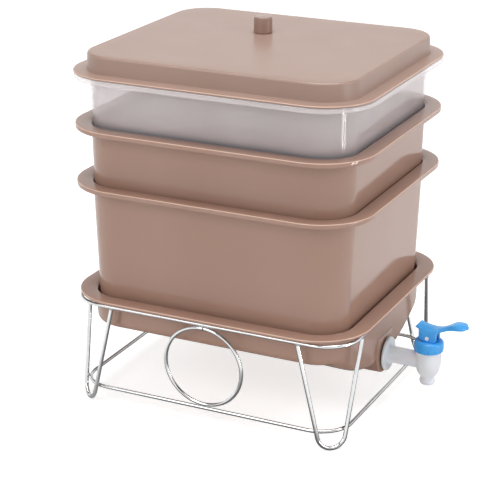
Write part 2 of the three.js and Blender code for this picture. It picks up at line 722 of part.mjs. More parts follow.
function tapBody() {
  const shankEnd = flangeBack - shankReach;
  const flangeFront = flangeBack + flangeThickness;
  const [shank, flange, pipe] = [shankDiameter / 2, flangeDiameter / 2, pipeDiameter / 2];
  const level = turnedOnTapAxis([
    [0, shankEnd], [shank, shankEnd], [shank, flangeBack], [flange, flangeBack],
    [flange, flangeFront - flangeThickness / 3], [flange - flangeThickness / 3, flangeFront],
    [pipe + pipeFillet, flangeFront], [pipe, flangeFront + pipeFillet], [pipe, valveX], [0, valveX],
  ]);
  const [chamber, neck] = [chamberDiameter / 2, chamberNeck / 2];
  const [spout, bead] = [spoutDiameter / 2, spoutBead / 2];
  const end = tapAxisZ - spoutEndDrop;
  const beadZ = end + spoutBeadRise;
  const spoutTop = tapAxisZ - spoutNeckDrop;
  const taperTop = tapAxisZ - chamberStraight;
  const taper = quarterArc(taperSteps, (angle) => [
    spout + (chamber - spout) * Math.sin(angle),
    THREE.MathUtils.lerp(taperTop, spoutTop, Math.cos(angle) ** chamberTaperShare),
  ]);
  const upright = turned([
    [0, end], [spout - spoutBeadHeight / 6, end], [spout, end + spoutBeadHeight / 6],
    [spout, beadZ - spoutBeadHeight / 6], [bead, beadZ + spoutBeadHeight / 6],
    [bead, beadZ + spoutBeadHeight * 2 / 3], [spout, beadZ + spoutBeadHeight], ...taper,
    [chamber, chamberShoulderZ], [neck, chamberShoulderZ],
    [neck, tapAxisZ + chamberTopRise], [0, tapAxisZ + chamberTopRise],
  ]).translate([valveX, 0, 0]);
  const levelBore = turnedOnTapAxis([
    [0, shankEnd - cutOverrun], [pipeBore / 2, shankEnd - cutOverrun],
    [pipeBore / 2, valveX], [0, valveX],
  ], boreSides);
  const uprightBore = turned([
    [0, end - cutOverrun], [spoutBore / 2, end - cutOverrun],
    [spoutBore / 2, tapAxisZ - seatBottomDrop], [chamberBore / 2, tapAxisZ - seatTopDrop],
    [chamberBore / 2, tapAxisZ + chamberTopRise + cutOverrun],
    [0, tapAxisZ + chamberTopRise + cutOverrun],
  ], boreSides).translate([valveX, 0, 0]);
  return level.add(upright).subtract(levelBore).subtract(uprightBore);
}

// A flat ring on the tap's shank, between two places along X.
function shankRing(from, to, diameter) {
  const inner = shankDiameter / 2 + seatGap;
  return turnedOnTapAxis([[inner, from], [diameter / 2, from], [diameter / 2, to], [inner, to]]);
}

function outerGasketRing() {
  return shankRing(pocketFace + seatGap, flangeBack - seatGap, outerGasketDiameter);
}

const innerFace = pocketFace - wall;

function innerGasketRing() {
  return shankRing(innerFace - seatGap - innerGasket, innerFace - seatGap, innerGasketDiameter);
}

function lockNut() {
  const face = innerFace - 2 * seatGap - innerGasket;
  const hexagon = new THREE.CylinderGeometry(nutDiameter / 2, nutDiameter / 2, nutThickness, 6);
  hexagon.rotateZ(Math.PI / 2);
  const body = solidOf(hexagon, moved(face - nutCollarLength - nutThickness / 2, 0, tapAxisZ));
  const middle = face - nutCollarLength - nutThickness / 2;
  const collar = turnedOnTapAxis([
    [0, middle], [nutCollarDiameter / 2, middle], [nutCollarDiameter / 2, face], [0, face],
  ]);
  const inner = shankDiameter / 2 + seatGap;
  const [from, to] = [middle - nutThickness / 2 - cutOverrun, face + cutOverrun];
  const thread = turnedOnTapAxis([[0, from], [inner, from], [inner, to], [0, to]]);
  return body.add(collar).subtract(thread);
}

function bonnet() {
  const radius = bonnetDiameter / 2;
  const inner = chamberNeck / 2 + seatGap;
  const hole = stemDiameter / 2 + seatGap;
  const plateUnder = bonnetTop - bonnetTopPlate;
  const shell = turned([
    [inner, bonnetBottom], [radius - bonnetBottomChamfer, bonnetBottom],
    [radius, bonnetBottom + bonnetBottomChamfer], [radius, bonnetTop - bonnetTopChamfer],
    [radius - bonnetTopChamfer, bonnetTop], [hole, bonnetTop], [hole, plateUnder],
    [inner, plateUnder],
  ]);
  const notchRadius = bonnetNotchDiameter / 2;
  const cutter = new THREE.CylinderGeometry(notchRadius, notchRadius, bonnetNotchHeight, wireSides);
  cutter.rotateX(Math.PI / 2);
  const notches = Array.from({ length: bonnetNotches }, (_, index) => {
    const angle = (index + 0.5) / bonnetNotches * 2 * Math.PI;
    const away = radius + notchRadius - bonnetNotchDepth;
    return solidOf(cutter, moved(away * Math.cos(angle), away * Math.sin(angle), bonnetBottom));
  });
  return shell.subtract(joined(notches)).translate([valveX, 0, 0]);
}

// The cone of the valve seat, which the plug's own cone follows with a clearance.
const seatBottomZ = tapAxisZ - seatBottomDrop;
const seatTopZ = tapAxisZ - seatTopDrop;
const seatSlope = (chamberBore - spoutBore) / 2 / (seatTopZ - seatBottomZ);
const plugClearance = seatGap * Math.hypot(1, seatSlope);
const plugBottomZ = seatBottomZ + seatGap;
const plugTopZ = plugBottomZ + plugHeight;

function valvePlug() {
  const coneRadius = (z) => spoutBore / 2 + (z - seatBottomZ) * seatSlope - plugClearance;
  const hole = stemDiameter / 2 + seatGap;
  const holeBottom = plugTopZ - stemPlugDepth - seatGap;
  const wide = coneRadius(seatTopZ);
  return turned([
    [0, plugBottomZ], [coneRadius(plugBottomZ), plugBottomZ], [wide, seatTopZ],
    [wide - plugTopRound, plugTopZ], [hole, plugTopZ], [hole, holeBottom], [0, holeBottom],
  ]).translate([valveX, 0, 0]);
}

function stem() {
  const [rod, head, pin] = [stemDiameter / 2, stemHead / 2, crossPinDiameter / 2];
  const shaft = turned([
    [0, plugTopZ - stemPlugDepth], [rod, plugTopZ - stemPlugDepth], [rod, crossPinZ - pin],
    [head, crossPinZ - rod / 2], [head, crossPinZ + rod / 2],
    [head / 2, crossPinZ + stemHeadRise], [0, crossPinZ + stemHeadRise],
  ], boreSides);
  const pinLength = leverWidth + 2 * crossPinProud;
  const crossPin = new THREE.CylinderGeometry(pin, pin, pinLength, boreSides);
  return shaft.add(solidOf(crossPin, moved(0, 0, crossPinZ))).translate([valveX, 0, 0]);
}

// The lever's side view, standing on the cross pin's axis.
function leverSide() {
  const paddleMiddle = (paddleStart + paddleReach) / 2;
  const shape = new THREE.Shape();
  shape.moveTo(-cheekBack, cheekHeelRise - cheekSoleRise);
  shape.lineTo(-cheekSoleBack, -cheekSoleRise);
  shape.lineTo(cheekFront - cheekToeRound, -cheekSoleRise);
  shape.lineTo(cheekFront, cheekToeRound - cheekSoleRise);
  shape.lineTo(cheekFront, cheekShoulder);
  shape.quadraticCurveTo(armReach, armTop - armThickness, paddleStart, paddleUnder);
  shape.quadraticCurveTo(paddleMiddle, paddleUnder + paddleArch,
    paddleReach, paddleTop - paddleTipDrop - paddleTipThickness);
  shape.lineTo(paddleReach, paddleTop - paddleTipDrop);
  shape.quadraticCurveTo(paddleMiddle, paddleTop + paddleTipDrop, paddleStart, paddleTop);
  shape.quadraticCurveTo(armReach, armTop, cheekFront + saddleReach / 2, saddleTop + saddleSweep);
  shape.quadraticCurveTo(saddleReach, saddleTop - saddleSweep, -cheekBack, noseTop - saddleSweep);
  shape.lineTo(noseDepth - noseReach, noseTop);
  shape.lineTo(-noseReach, noseTop - noseDepth);
  shape.lineTo(-cheekBack, noseUnder);
  return shape;
}

// The lever's view from above: square block, narrow arm and a wide rounded paddle.
function leverPlan() {
  const [block, arm, paddle] = [leverWidth / 2, armWidth / 2, paddleWidth / 2];
  const widest = (paddleStart + paddleReach) / 2;
  const tipRound = paddle * 2 / 3;
  const tipStart = paddleReach - tipRound / 3;
  const edge = new THREE.Path();
  edge.moveTo(-noseReach - cutOverrun, block);
  edge.lineTo(cheekFront, block);
  edge.bezierCurveTo(cheekFront + saddleReach, arm, armReach - saddleReach / 2, arm, armReach, arm);
  edge.bezierCurveTo(armReach + saddleReach, arm, paddleStart, paddle, widest, paddle);
  edge.quadraticCurveTo(tipStart, paddle, tipStart, paddle - tipRound);
  edge.quadraticCurveTo(paddleReach, paddle - tipRound, paddleReach, 0);
  const points = edge.getPoints(leverCurveSteps);
  const mirrored = points.slice(0, -1).reverse().map(({ x, y }) => new THREE.Vector2(x, -y));
  return new THREE.Shape([...points, ...mirrored]);
}

function lever() {
  const across = paddleWidth + 2 * cutOverrun;
  const side = new THREE.ExtrudeGeometry(leverSide(), {
    depth: across, bevelEnabled: false, curveSegments: leverCurveSteps,
  });
  side.rotateX(Math.PI / 2);
  const height = noseTop + paddleTop + cheekSoleRise;
  const plan = new THREE.ExtrudeGeometry(leverPlan(), { depth: height, bevelEnabled: false });
  const body = solidOf(side, moved(0, across / 2, 0))
    .intersect(solidOf(plan, moved(0, 0, -cheekSoleRise - cutOverrun)));
  const slot = box(-slotBack, cheekFront + cutOverrun, -slotWidth / 2, slotWidth / 2,
    -cheekSoleRise - cutOverrun, slotTop);
  const hole = crossPinDiameter / 2 + seatGap;
  const drill = new THREE.CylinderGeometry(hole, hole, leverWidth + 2 * cutOverrun, boreSides);
  return body.subtract(slot).subtract(solidOf(drill)).translate([valveX, 0, crossPinZ]);
}

const wormery = new THREE.Group();
wormery.name = 'wormery';
wormery.position.x = middleX;

const stand = new THREE.Group();
stand.add(meshOf('stand_top_ring',
  wireRing(topRingLength, topRingDepth, topRingCorner, topRingHeight), chrome));
stand.add(meshOf('stand_bottom_ring',
  wireRing(bottomRingLength, bottomRingDepth, bottomRingCorner, bottomRingHeight), chrome));
for (const [signY, end] of [[-1, 'front'], [1, 'back']]) {
  stand.add(meshOf(`stand_${end}_circle`, wireCircle(signY), chrome));
  for (const [signX, side] of [[-1, 'left'], [1, 'right']]) {
    stand.add(meshOf(`stand_leg_${end}_${side}`, wireLeg(signX, signY), chrome));
  }
}
wormery.add(stand);

const tap = new THREE.Group();
tap.add(meshOf('tap_body', tapBody(), whitePlastic));
tap.add(meshOf('tap_outer_gasket', outerGasketRing(), rubber));
tap.add(meshOf('tap_inner_gasket', innerGasketRing(), rubber));
tap.add(meshOf('tap_lock_nut', lockNut(), whitePlastic));
tap.add(meshOf('tap_bonnet', bonnet(), bluePlastic));
tap.add(meshOf('tap_stem', stem(), whitePlastic));
tap.add(meshOf('tap_plug', valvePlug(), silicone));
tap.add(meshOf('tap_lever', lever(), bluePlastic));
wormery.add(tap);

wormery.add(meshOf('sump_tray', sumpTray(), brownPlastic));
wormery.add(meshOf('deep_tray',
  tray(deepTrayBase, deepTrayHeight, deepDraftShare, true), brownPlastic));
wormery.add(meshOf('shallow_tray',
  tray(shallowTrayBase, shallowTrayHeight, shallowDraftShare, true), brownPlastic));
wormery.add(meshOf('clear_tray',
  tray(clearTrayBase, clearTrayHeight, shallowDraftShare, false), clearPlastic));
wormery.add(meshOf('lid', lid(), lidPlastic));
wormery.add(meshOf('lid_knob', knob(), lidPlastic));
wormery.add(meshOf('lid_knob_screw', knobScrew(), steel));

export default wormery;
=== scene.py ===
from math import acos, atan2, cos, floor, hypot, pi, radians, sin, sqrt

import bpy
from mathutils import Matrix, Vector, noise


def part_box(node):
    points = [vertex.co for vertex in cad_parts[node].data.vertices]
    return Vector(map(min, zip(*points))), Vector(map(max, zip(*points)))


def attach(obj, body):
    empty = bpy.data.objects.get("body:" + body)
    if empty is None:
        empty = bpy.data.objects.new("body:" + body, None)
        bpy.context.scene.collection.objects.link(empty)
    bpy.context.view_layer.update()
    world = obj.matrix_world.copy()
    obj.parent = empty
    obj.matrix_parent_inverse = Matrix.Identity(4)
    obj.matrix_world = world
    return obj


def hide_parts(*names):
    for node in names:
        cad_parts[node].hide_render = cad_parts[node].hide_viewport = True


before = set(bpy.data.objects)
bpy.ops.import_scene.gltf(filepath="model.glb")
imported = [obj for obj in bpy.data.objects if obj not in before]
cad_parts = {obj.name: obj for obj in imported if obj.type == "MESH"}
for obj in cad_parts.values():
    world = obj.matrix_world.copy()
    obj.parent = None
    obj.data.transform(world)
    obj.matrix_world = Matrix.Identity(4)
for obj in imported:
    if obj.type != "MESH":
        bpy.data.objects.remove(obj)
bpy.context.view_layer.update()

# Sizes are in millimetres. Places are measured from the middle of the trays, and those of the
# nodes come from the frame.
MM = 0.001
X, Y, Z = 0, 1, 2
MIDDLE_X = round(sum(corner[X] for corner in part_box("deep_tray")) / 2 / MM, 3)


def span(node, axis):
    """Where a node begins and ends along an axis, to the nearest micrometre."""
    middle = MIDDLE_X if axis == X else 0.0
    return [round(corner[axis] / MM, 3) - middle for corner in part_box(node)]


def middle_of(node, axis):
    return sum(span(node, axis)) / 2


# Seats, cuts and smoothing
SEAT = 0.3
OVERRUN = 1.0
SMOOTH_ANGLE = 32
CORNER_STEPS = 20

# Trays and sump. A shape seen from above is half its length, half its depth and its corner.
WALL = 2.5
RIM_WIDTH = 20.0
RIM = (span("deep_tray", X)[1], span("deep_tray", Y)[1], 66.0)
BODY = (RIM[0] - RIM_WIDTH, RIM[1] - RIM_WIDTH, 43.0)
DEEP_DRAFT = 0.034
SHALLOW_DRAFT = 0.02
FLOOR_ROUND = 9.0
NECK_ROUND = 1.8
HEM_ROUND = 0.7
HEM_BEND = 0.8
HEM_BEND_SHARE = 0.6
RIM_ROUND = 1.0
TRAY_LIP = 5.5
SUMP_LIP = 3.0
TRAY_MOUTH = 6.0
SUMP_MOUTH = 4.0
DEEP_BASE, DEEP_TOP = span("deep_tray", Z)
SHALLOW_BASE, SHALLOW_TOP = span("shallow_tray", Z)
CLEAR_BASE, CLEAR_TOP = span("clear_tray", Z)
NEST = DEEP_TOP - SHALLOW_BASE

# Ribs that carry the tray above, and drainage holes
RIB_REACH = 19.0
RIB_THICKNESS = 3.0
RIB_LEAD = 1.5
RIB_FOOT_SHARE = 0.7
RIB_FOOT_LIFT = 0.4
RIB_PLACES = (85.0, 70.0)
HOLE_RADIUS = 3.5
HOLE_ROUND = 0.6
HOLE_PITCH = (46.0, 52.0)
HOLE_MARGIN = 30.0

# The sump, whose floor falls towards the tap
SUMP_TOP = span("sump_tray", Z)[1]
SUMP_DEPTH = 41.0
SUMP_BASE = SUMP_TOP - SUMP_DEPTH
HOPPER_RUN = 240.0
HOPPER_MARGIN = 20.0
HOPPER_DROP = 41.0
HOPPER_POWER = 0.8
HOPPER_SPANS = (24, 12, 6, 12)
HOPPER_INNER_SHARE = 0.08
GUSSET_THICKNESS = 3.0
GUSSET_DROP = 2.65
GUSSET_SHOULDER = 3.4
GUSSET_PLACES = (75.0, 55.0)
POCKET_HALF = 24.0
POCKET_TOP = 26.0
POCKET_LENGTH = 27.0
POCKET_ROUND = 3.0
POCKET_ROUND_SHARE = 1.9
POCKET_STEPS = 24

# The wire stand. A ring is a shape with the height of its wire's middle line.
RING_WIRE = 4.5
LEG_WIRE = 5.0
RING_REACH = 12.0
TOP_RING = (BODY[0] + RING_REACH, BODY[1] + RING_REACH, 40.0, 129.3)
BOTTOM_RING = (TOP_RING[0] - 7.5, TOP_RING[1] - 4.5, 38.0, 22.0)
LEG_BEND = 17.0
LEG_SETBACK = (17.5, 10.0)
LEG_DROP = 0.5
LEG_RUN_STEPS = 12
LEG_BEND_STEPS = 32
SEAM_BEARING = radians(88.0)
SEAM_LENGTH = 1.1
SEAM_PROUD = 0.2

# Weld beads, as half their width and half their length
CIRCLE_BEAD = (1.5, 4.0)
END_BEAD = (2.1, 2.9)
END_BEAD_RISE = 0.9
CROSSING_BEAD = (1.1, 2.0)
CROSSING_BEAD_REACH = 2.6

# The lid, its knob and the knob's screw
LID_TOP = span("lid", Z)[1]
LID_BASE = CLEAR_TOP + SEAT
LID_SHEET = 2.4
LID_FLANGE = (span("lid", X)[1], span("lid", Y)[1], 61.0)
LID_PROUD = 2.7
LID_LEAN = 1.0
LID_ROUND = 3.0
LID_CROWN = 0.35
LID_FILLET = 0.6
CROWN_SHARES = (0.9, 0.75, 0.5, 0.25, 0.05)
SKIRT_GAP = 1.4
SKIRT_WALL = 2.2
SKIRT_ROUND = 0.6
SKIRT_BEND = 0.8
KNOB = (middle_of("lid_knob", X), middle_of("lid_knob", Y))
KNOB_BASE, KNOB_TOP = span("lid_knob", Z)
KNOB_RADII = (11.4, 10.85)
SCREW_HOLE = 2.5
SCREW_FOOT = span("lid_knob_screw", Z)[0]
SCREW_HEAD = 4.5
SCREW_HEAD_FOOT = 3.4
SCREW_HEAD_HEIGHT = 2.8
SCREW_SHANK = 2.2
SCREW_GRIP = 12.4
SCREW_TIP = 2.0
SCREW_SLOT = (5.4, 1.1, 1.3)

# The tap's level axis, from the gasket behind its flange to the axis of the valve
TAP_Z = middle_of("tap_outer_gasket", Z)
POCKET_FACE = span("tap_outer_gasket", X)[0] - SEAT
FLANGE_BACK = span("tap_outer_gasket", X)[1] + SEAT
VALVE = (middle_of("tap_bonnet", X), 0.0)
SHANK = 9.5
SHANK_HOLE = SHANK + SEAT
SHANK_REACH = 17.5
SHANK_CHAMFER = 0.8
FLANGE = 20.5
FLANGE_THICKNESS = 3.0
FLANGE_CHAMFER = 0.4
FLANGE_ROUND = 1.2
PIPE = 10.0
PIPE_FILLET = 3.0
PIPE_BORE = 6.0
NUT = 15.5
NUT_COLLAR = 13.0
NUT_HEIGHT = 7.0

# The valve on its upright axis. The bead's outline runs from the spout's wall and the bead's foot.
SPOUT = 8.3
SPOUT_BORE = 5.0
SPOUT_DROP = 28.5
SPOUT_CHAMFER = 0.5
SPOUT_BEAD_RISE = 2.0
SPOUT_BEAD = ((0.1, -0.6), (0.6, 0.1), (1.15, 1.1), (1.2, 2.0), (1.1, 2.9), (0.6, 3.9), (0.0, 4.5))
CHAMBER = 15.0
CHAMBER_BORE = 10.5
CHAMBER_DROP = 2.0
CHAMBER_NARROW_DROP = 17.5
CHAMBER_POWER = 1.4
CHAMBER_SHOULDER = 13.9
CHAMBER_CHAMFER = 0.6
NECK = 13.4
NECK_TOP = 24.5
NECK_CHAMFER = 0.3
SEAT_TOP_DROP = 5.5
SEAT_BOTTOM_DROP = 11.5
BONNET = 17.5
BONNET_INSIDE = NECK + SEAT
BONNET_BOTTOM, BONNET_TOP = span("tap_bonnet", Z)
BONNET_ROOF = 2.6
BONNET_CHAMFER = 2.0
NOTCHES = 12
NOTCH = 1.5
NOTCH_DEPTH = 0.75
STEM = 3.0
STEM_HOLE = STEM + SEAT
STEM_HEAD = 3.6
STEM_FOOT = span("tap_stem", Z)[0]
PLUG_BOTTOM, PLUG_TOP = span("tap_plug", Z)
PLUG_RADII = (4.87, 10.09, 9.3)
PIN = 2.5
PIN_HALF = span("tap_stem", Y)[1]

# The lever. Its outlines run from the pin: the side one as (along, up), the plan as (along, across).
LEVER_TOE = 4.1
LEVER_TIP = span("tap_lever", X)[1] - VALVE[0]
LEVER_HALF = span("tap_lever", Y)[1]
PIN_Z = span("tap_lever", Z)[0] + LEVER_TOE
PIN_HOLE = PIN + SEAT
LEVER_SIDE_START = (-10.4, -0.5)
LEVER_SIDE = (
    ((-3.5, -LEVER_TOE),), ((9.3, -LEVER_TOE),), ((10.5, -2.9),), ((10.5, 7.4),),
    ((21.5, 11.6), (30.0, 14.9)), ((38.75, 17.3), (LEVER_TIP, 17.1)), ((LEVER_TIP, 19.7),),
    ((38.75, 22.1), (30.0, 20.9)), ((21.5, 16.4), (12.0, 12.2)), ((6.0, 9.8), (-10.4, 14.2)),
    ((-12.6, 15.4),), ((-15.0, 13.0),), ((-10.4, 10.6),))
LEVER_PLAN_START = (-16.5, 9.0)
LEVER_PLAN = (
    ((10.5, 9.0),), ((16.5, 4.5), (18.5, 4.5), (21.5, 4.5)),
    ((27.5, 4.5), (30.0, LEVER_HALF), (38.75, LEVER_HALF)), ((45.4, LEVER_HALF), (45.4, 3.2)),
    ((LEVER_TIP, 3.2), (LEVER_TIP, 0.0)))
LEVER_SLOT = ((-6.4, -6), (12, -6), (12, 4.6), (-6.4, 4.6))
LEVER_SLOT_HALF = 4.3
LEVER_BEVEL = 0.55


# Meshes

def make(name, points, faces, smooth=SMOOTH_ANGLE):
    points = [((x + MIDDLE_X) * MM, y * MM, z * MM) for x, y, z in points]
    return new_object(name, points, faces, smooth)


def new_object(name, points, faces, smooth=SMOOTH_ANGLE):
    mesh = bpy.data.meshes.new(name)
    mesh.from_pydata(points, [], faces)
    mesh.validate()
    return shade(put(name, mesh), smooth)


def put(name, data):
    obj = bpy.data.objects.new(name, data)
    bpy.context.scene.collection.objects.link(obj)
    return obj


def shade(obj, angle=SMOOTH_ANGLE):
    obj.data.shade_smooth()
    obj.data.set_sharp_from_angle(angle=radians(angle))
    return obj


def settled(obj):
    """Replaces the object's mesh by what its modifiers make of it."""
    graph = bpy.context.evaluated_depsgraph_get()
    mesh = bpy.data.meshes.new_from_object(obj.evaluated_get(graph))
    obj.modifiers.clear()
    obj.data = mesh
    return obj


def combine(obj, other, operation):
    modifier = obj.modifiers.new("combine", "BOOLEAN")
    modifier.object = other
    modifier.operation = operation
    modifier.solver = "EXACT"
    settled(obj)
    bpy.data.objects.remove(other)
    return obj


def bevelled(obj, width, segments, angle):
    modifier = obj.modifiers.new("bevel", "BEVEL")
    modifier.width = width * MM
    modifier.segments = segments
    modifier.limit_method = "ANGLE"
    modifier.angle_limit = radians(angle)
    return settled(obj)


def merged(name, objects):
    """One object out of several meshes that stay separate bodies."""
    points, faces = [], []
    for obj in objects:
        start = len(points)
        points += [vertex.co.copy() for vertex in obj.data.vertices]
        faces += [[start + index for index in face.vertices] for face in obj.data.polygons]
        bpy.data.objects.remove(obj)
    return new_object(name, points, faces)


def turns(count):
    """Angles all round, in equal steps."""
    return [2 * pi * step / count for step in range(count)]


def arc(steps):
    """Angles through a quarter turn, with both its ends."""
    return [pi / 2 * step / steps for step in range(steps + 1)]


def quarter(steps, level_first=True):
    """A quarter bend as pairs (inwards, upwards), from level to upright or the other way round."""
    pairs = [(1 - sin(angle), 1 - cos(angle)) for angle in arc(steps)]
    return pairs if level_first else [(upwards, inwards) for inwards, upwards in pairs]


def inset(shape, amount):
    return tuple(size - amount for size in shape[:3])


def bend(shape, z, inwards, upwards, steps, level_first=True):
    """Stages round a bend between the level at z and the upright on the shape."""
    return [(*inset(shape, inwards * in_share), z + upwards * up_share)
            for in_share, up_share in quarter(steps, level_first)]


def outline(half_x, half_y, corner, spans=(1, 1, 1, 1), steps=CORNER_STEPS):
    """Rounded rectangle, counter-clockwise from its right side, which has the first of the spans."""
    bends = []
    for turn, (sign_x, sign_y) in enumerate(((1, 1), (-1, 1), (-1, -1), (1, -1))):
        middle = (sign_x * (half_x - corner), sign_y * (half_y - corner))
        bends.append([(middle[0] + corner * cos((turn + step / steps) * pi / 2),
                       middle[1] + corner * sin((turn + step / steps) * pi / 2))
                      for step in range(steps + 1)])
    ring = []
    for index, corner_bend in enumerate(bends):
        before, after = bends[index - 1][-1], corner_bend[0]
        for step in range(1, spans[index]):
            share = step / spans[index]
            ring.append((before[0] + (after[0] - before[0]) * share,
                         before[1] + (after[1] - before[1]) * share))
        ring += corner_bend
    return ring


def stage_ring(stage, spans=(1, 1, 1, 1), fall=None):
    half_x, half_y, corner, z = stage
    return [(x, y, z - (fall(x, y) if fall else 0)) for x, y in outline(half_x, half_y, corner, spans)]


def band(near, far):
    """Faces between two rings of point numbers."""
    count = len(near)
    return [[near[side], near[(side + 1) % count], far[(side + 1) % count], far[side]]
            for side in range(count)]


def skin(rings):
    """The points of a row of rings, their numbers ring by ring, and the faces between the rings."""
    points = [point for ring in rings for point in ring]
    count = len(rings[0])
    numbers = [range(start, start + count) for start in range(0, len(points), count)]
    return points, numbers, [face for pair in zip(numbers, numbers[1:]) for face in band(*pair)]


def loft(name, rings):
    """A closed body through rings of equal count, from its underside upwards."""
    points, numbers, faces = skin(rings)
    for end, turn in ((0, -1), (-1, 1)):
        ring, ends = rings[end], numbers[end]
        faces += [[len(points), *(ends[side - 1], ends[side])[::turn]] for side in range(len(ring))]
        points.append(tuple(sum(point[axis] for point in ring) / len(ring) for axis in (X, Y, Z)))
    return make(name, points, faces)


def prism(name, flat, to_point):
    """A flat outline, given two ends by to_point(u, v, end), with its faces turned outwards."""
    points, (near, far), faces = skin([[to_point(u, v, end) for u, v in flat] for end in (0, 1)])
    return outward_normals(make(name, points, [near[::-1], far, *faces], 20))


def outward_normals(obj):
    mesh = obj.data
    volume = 0.0
    for face in mesh.polygons:
        corners = [mesh.vertices[index].co for index in face.vertices]
        for second, third in zip(corners[1:], corners[2:]):
            volume += corners[0].dot(second.cross(third))
    if volume < 0:
        mesh.flip_normals()
    return obj


def fillet(points, radius, steps=4):
    """Rounds each corner of a closed profile that lies off the axis."""
    longest_share, straight = 0.45, radians(165)
    rounded = []
    for index, (r, z) in enumerate(points):
        here = Vector((r, z))
        before = Vector(points[index - 1]) - here
        after = Vector(points[(index + 1) % len(points)]) - here
        if r == 0 or min(before.length, after.length) == 0 or before.angle(after) > straight:
            rounded.append((r, z))
            continue
        cut = min(radius, before.length * longest_share, after.length * longest_share)
        start, end = here + before.normalized() * cut, here + after.normalized() * cut
        for step in range(steps + 1):
            share = step / steps
            point = start * (1 - share) ** 2 + here * 2 * share * (1 - share) + end * share ** 2
            rounded.append((max(point.x, 0.0), point.y))
    return rounded


def turned(name, profile, sides=64, centre=(0.0, 0.0)):
    """A body turned about an upright axis. The profile is (radius, z), closed on itself."""
    points, rings = [], []
    for radius, z in profile:
        start = len(points)
        points += [(centre[0] + radius * cos(turn), centre[1] + radius * sin(turn), z)
                   for turn in (turns(sides) if radius > 0 else [0.0])]
        rings.append(range(start, len(points)))
    faces = []
    pairs = [(side, (side + 1) % sides) for side in range(sides)]
    for ring, following in zip(rings, rings[1:] + rings[:1]):
        if len(ring) == len(following):
            faces += band(ring, following) if len(ring) > 1 else []
        elif len(ring) == 1:
            faces += [[ring[0], following[after], following[side]] for side, after in pairs]
        else:
            faces += [[ring[side], ring[after], following[0]] for side, after in pairs]
    return make(name, points, faces)


def cylinder(name, radius, low, high, sides, centre=(0.0, 0.0)):
    return turned(name, [(0, low), (radius, low), (radius, high), (0, high)], sides, centre)


def lying(obj):
    """Turns a body from the upright axis through the trays' middle onto the tap's level axis."""
    for vertex in obj.data.vertices:
        x, y, z = vertex.co
        vertex.co = (z + MIDDLE_X * MM, y, TAP_Z * MM - (x - MIDDLE_X * MM))
    return obj


def on_pin(obj):
    """Turns a body from the upright axis through the trays' middle onto the lever's cross pin."""
    for vertex in obj.data.vertices:
        x, y, z = vertex.co
        vertex.co = (x + VALVE[0] * MM, z, PIN_Z * MM - y)
    return obj


# Trays

def tub_outside(base, top, lip, draft):
    under = top - WALL
    foot_shape = inset(BODY, (under - base - FLOOR_ROUND) * draft)
    foot = bend(foot_shape, base, FLOOR_ROUND, FLOOR_ROUND, 8)
    neck = [(*inset(BODY, -NECK_ROUND * (1 - cos(angle)) + draft * NECK_ROUND * cos(angle)),
             under - NECK_ROUND * (1 - sin(angle))) for angle in arc(5)]
    inner = inset(RIM, WALL)
    neck += [(*inset(inner, HEM_BEND), under), (*inset(inner, HEM_BEND / 4), under - HEM_BEND / 4),
             (*inner, under - min(HEM_BEND, HEM_BEND_SHARE * (lip - WALL)))]
    hem = bend(inner, top - lip, -HEM_ROUND, HEM_ROUND, 3, False)
    hem += bend(RIM, top - lip, HEM_ROUND, HEM_ROUND, 3)
    return foot, neck + hem + bend(RIM, top, RIM_ROUND, -RIM_ROUND, 7, False)


def tub_inside(base, top, draft, mouth):
    wall_shape = inset(BODY, (top - WALL - base - FLOOR_ROUND) * draft + WALL)
    inner_round = FLOOR_ROUND - WALL
    foot = bend(wall_shape, base + WALL, inner_round, inner_round, 7)
    return foot, bend(inset(BODY, WALL), top, -mouth, -mouth, 7, False)


def rib(on_long_wall, side, sign, base, rib_top, top, draft):
    """A stacking rib with a sloped lead-in; its outer edge lies inside the tub's wall."""
    half = BODY[1] if on_long_wall else BODY[0]

    def wall_at(z):
        return half - (top - WALL - z) * draft - WALL / 2

    def to_point(across, z, end):
        along = side + (end - 0.5) * RIB_THICKNESS
        return (along, sign * across, z) if on_long_wall else (sign * across, along, z)

    low = base + WALL / 2
    inner = half - RIB_REACH
    turn = base + FLOOR_ROUND
    flat = [(inner, low), (wall_at(turn) - FLOOR_ROUND * RIB_FOOT_SHARE, low + RIB_FOOT_LIFT),
            (wall_at(turn), turn), (wall_at(rib_top), rib_top), (inner + RIB_LEAD, rib_top),
            (inner, rib_top - RIB_LEAD)]
    return prism("rib", flat, to_point)


def ribs(base, rib_top, top, draft, fall=None):
    """Two ribs on each wall. In the sump they follow its falling floor down."""
    found = []
    for sign in (-1, 1):
        for side in (-1, 1):
            x, y = (side * place for place in RIB_PLACES)
            x_drop = fall(x, BODY[1] - RIB_REACH) if fall else 0.0
            y_drop = fall(sign * (BODY[0] - RIB_REACH), y) if fall else 0.0
            found.append(rib(True, x, sign, base - x_drop, rib_top, top, draft))
            found.append(rib(False, y, sign, base - y_drop, rib_top, top, draft))
    return found


def holes_cutter(base, top, draft):
    foot = (top - WALL - base) * draft + FLOOR_ROUND + HOLE_MARGIN
    columns, rows = (floor((2 * half - 2 * foot) / pitch) for half, pitch in zip(BODY, HOLE_PITCH))
    edge = HOLE_RADIUS + HOLE_ROUND
    upper = base + WALL
    profile = [(0, base - OVERRUN), (edge, base - OVERRUN), (edge, base), (HOLE_RADIUS, base + HOLE_ROUND),
               (HOLE_RADIUS, upper - HOLE_ROUND), (edge, upper), (edge, upper + OVERRUN),
               (0, upper + OVERRUN)]
    cutters = []
    for column in range(columns + 1):
        for row in range(rows + 1):
            centre = ((column - columns / 2) * HOLE_PITCH[0], (row - rows / 2) * HOLE_PITCH[1])
            cutters.append(turned("hole", profile, 20, centre))
    return merged("holes", cutters)


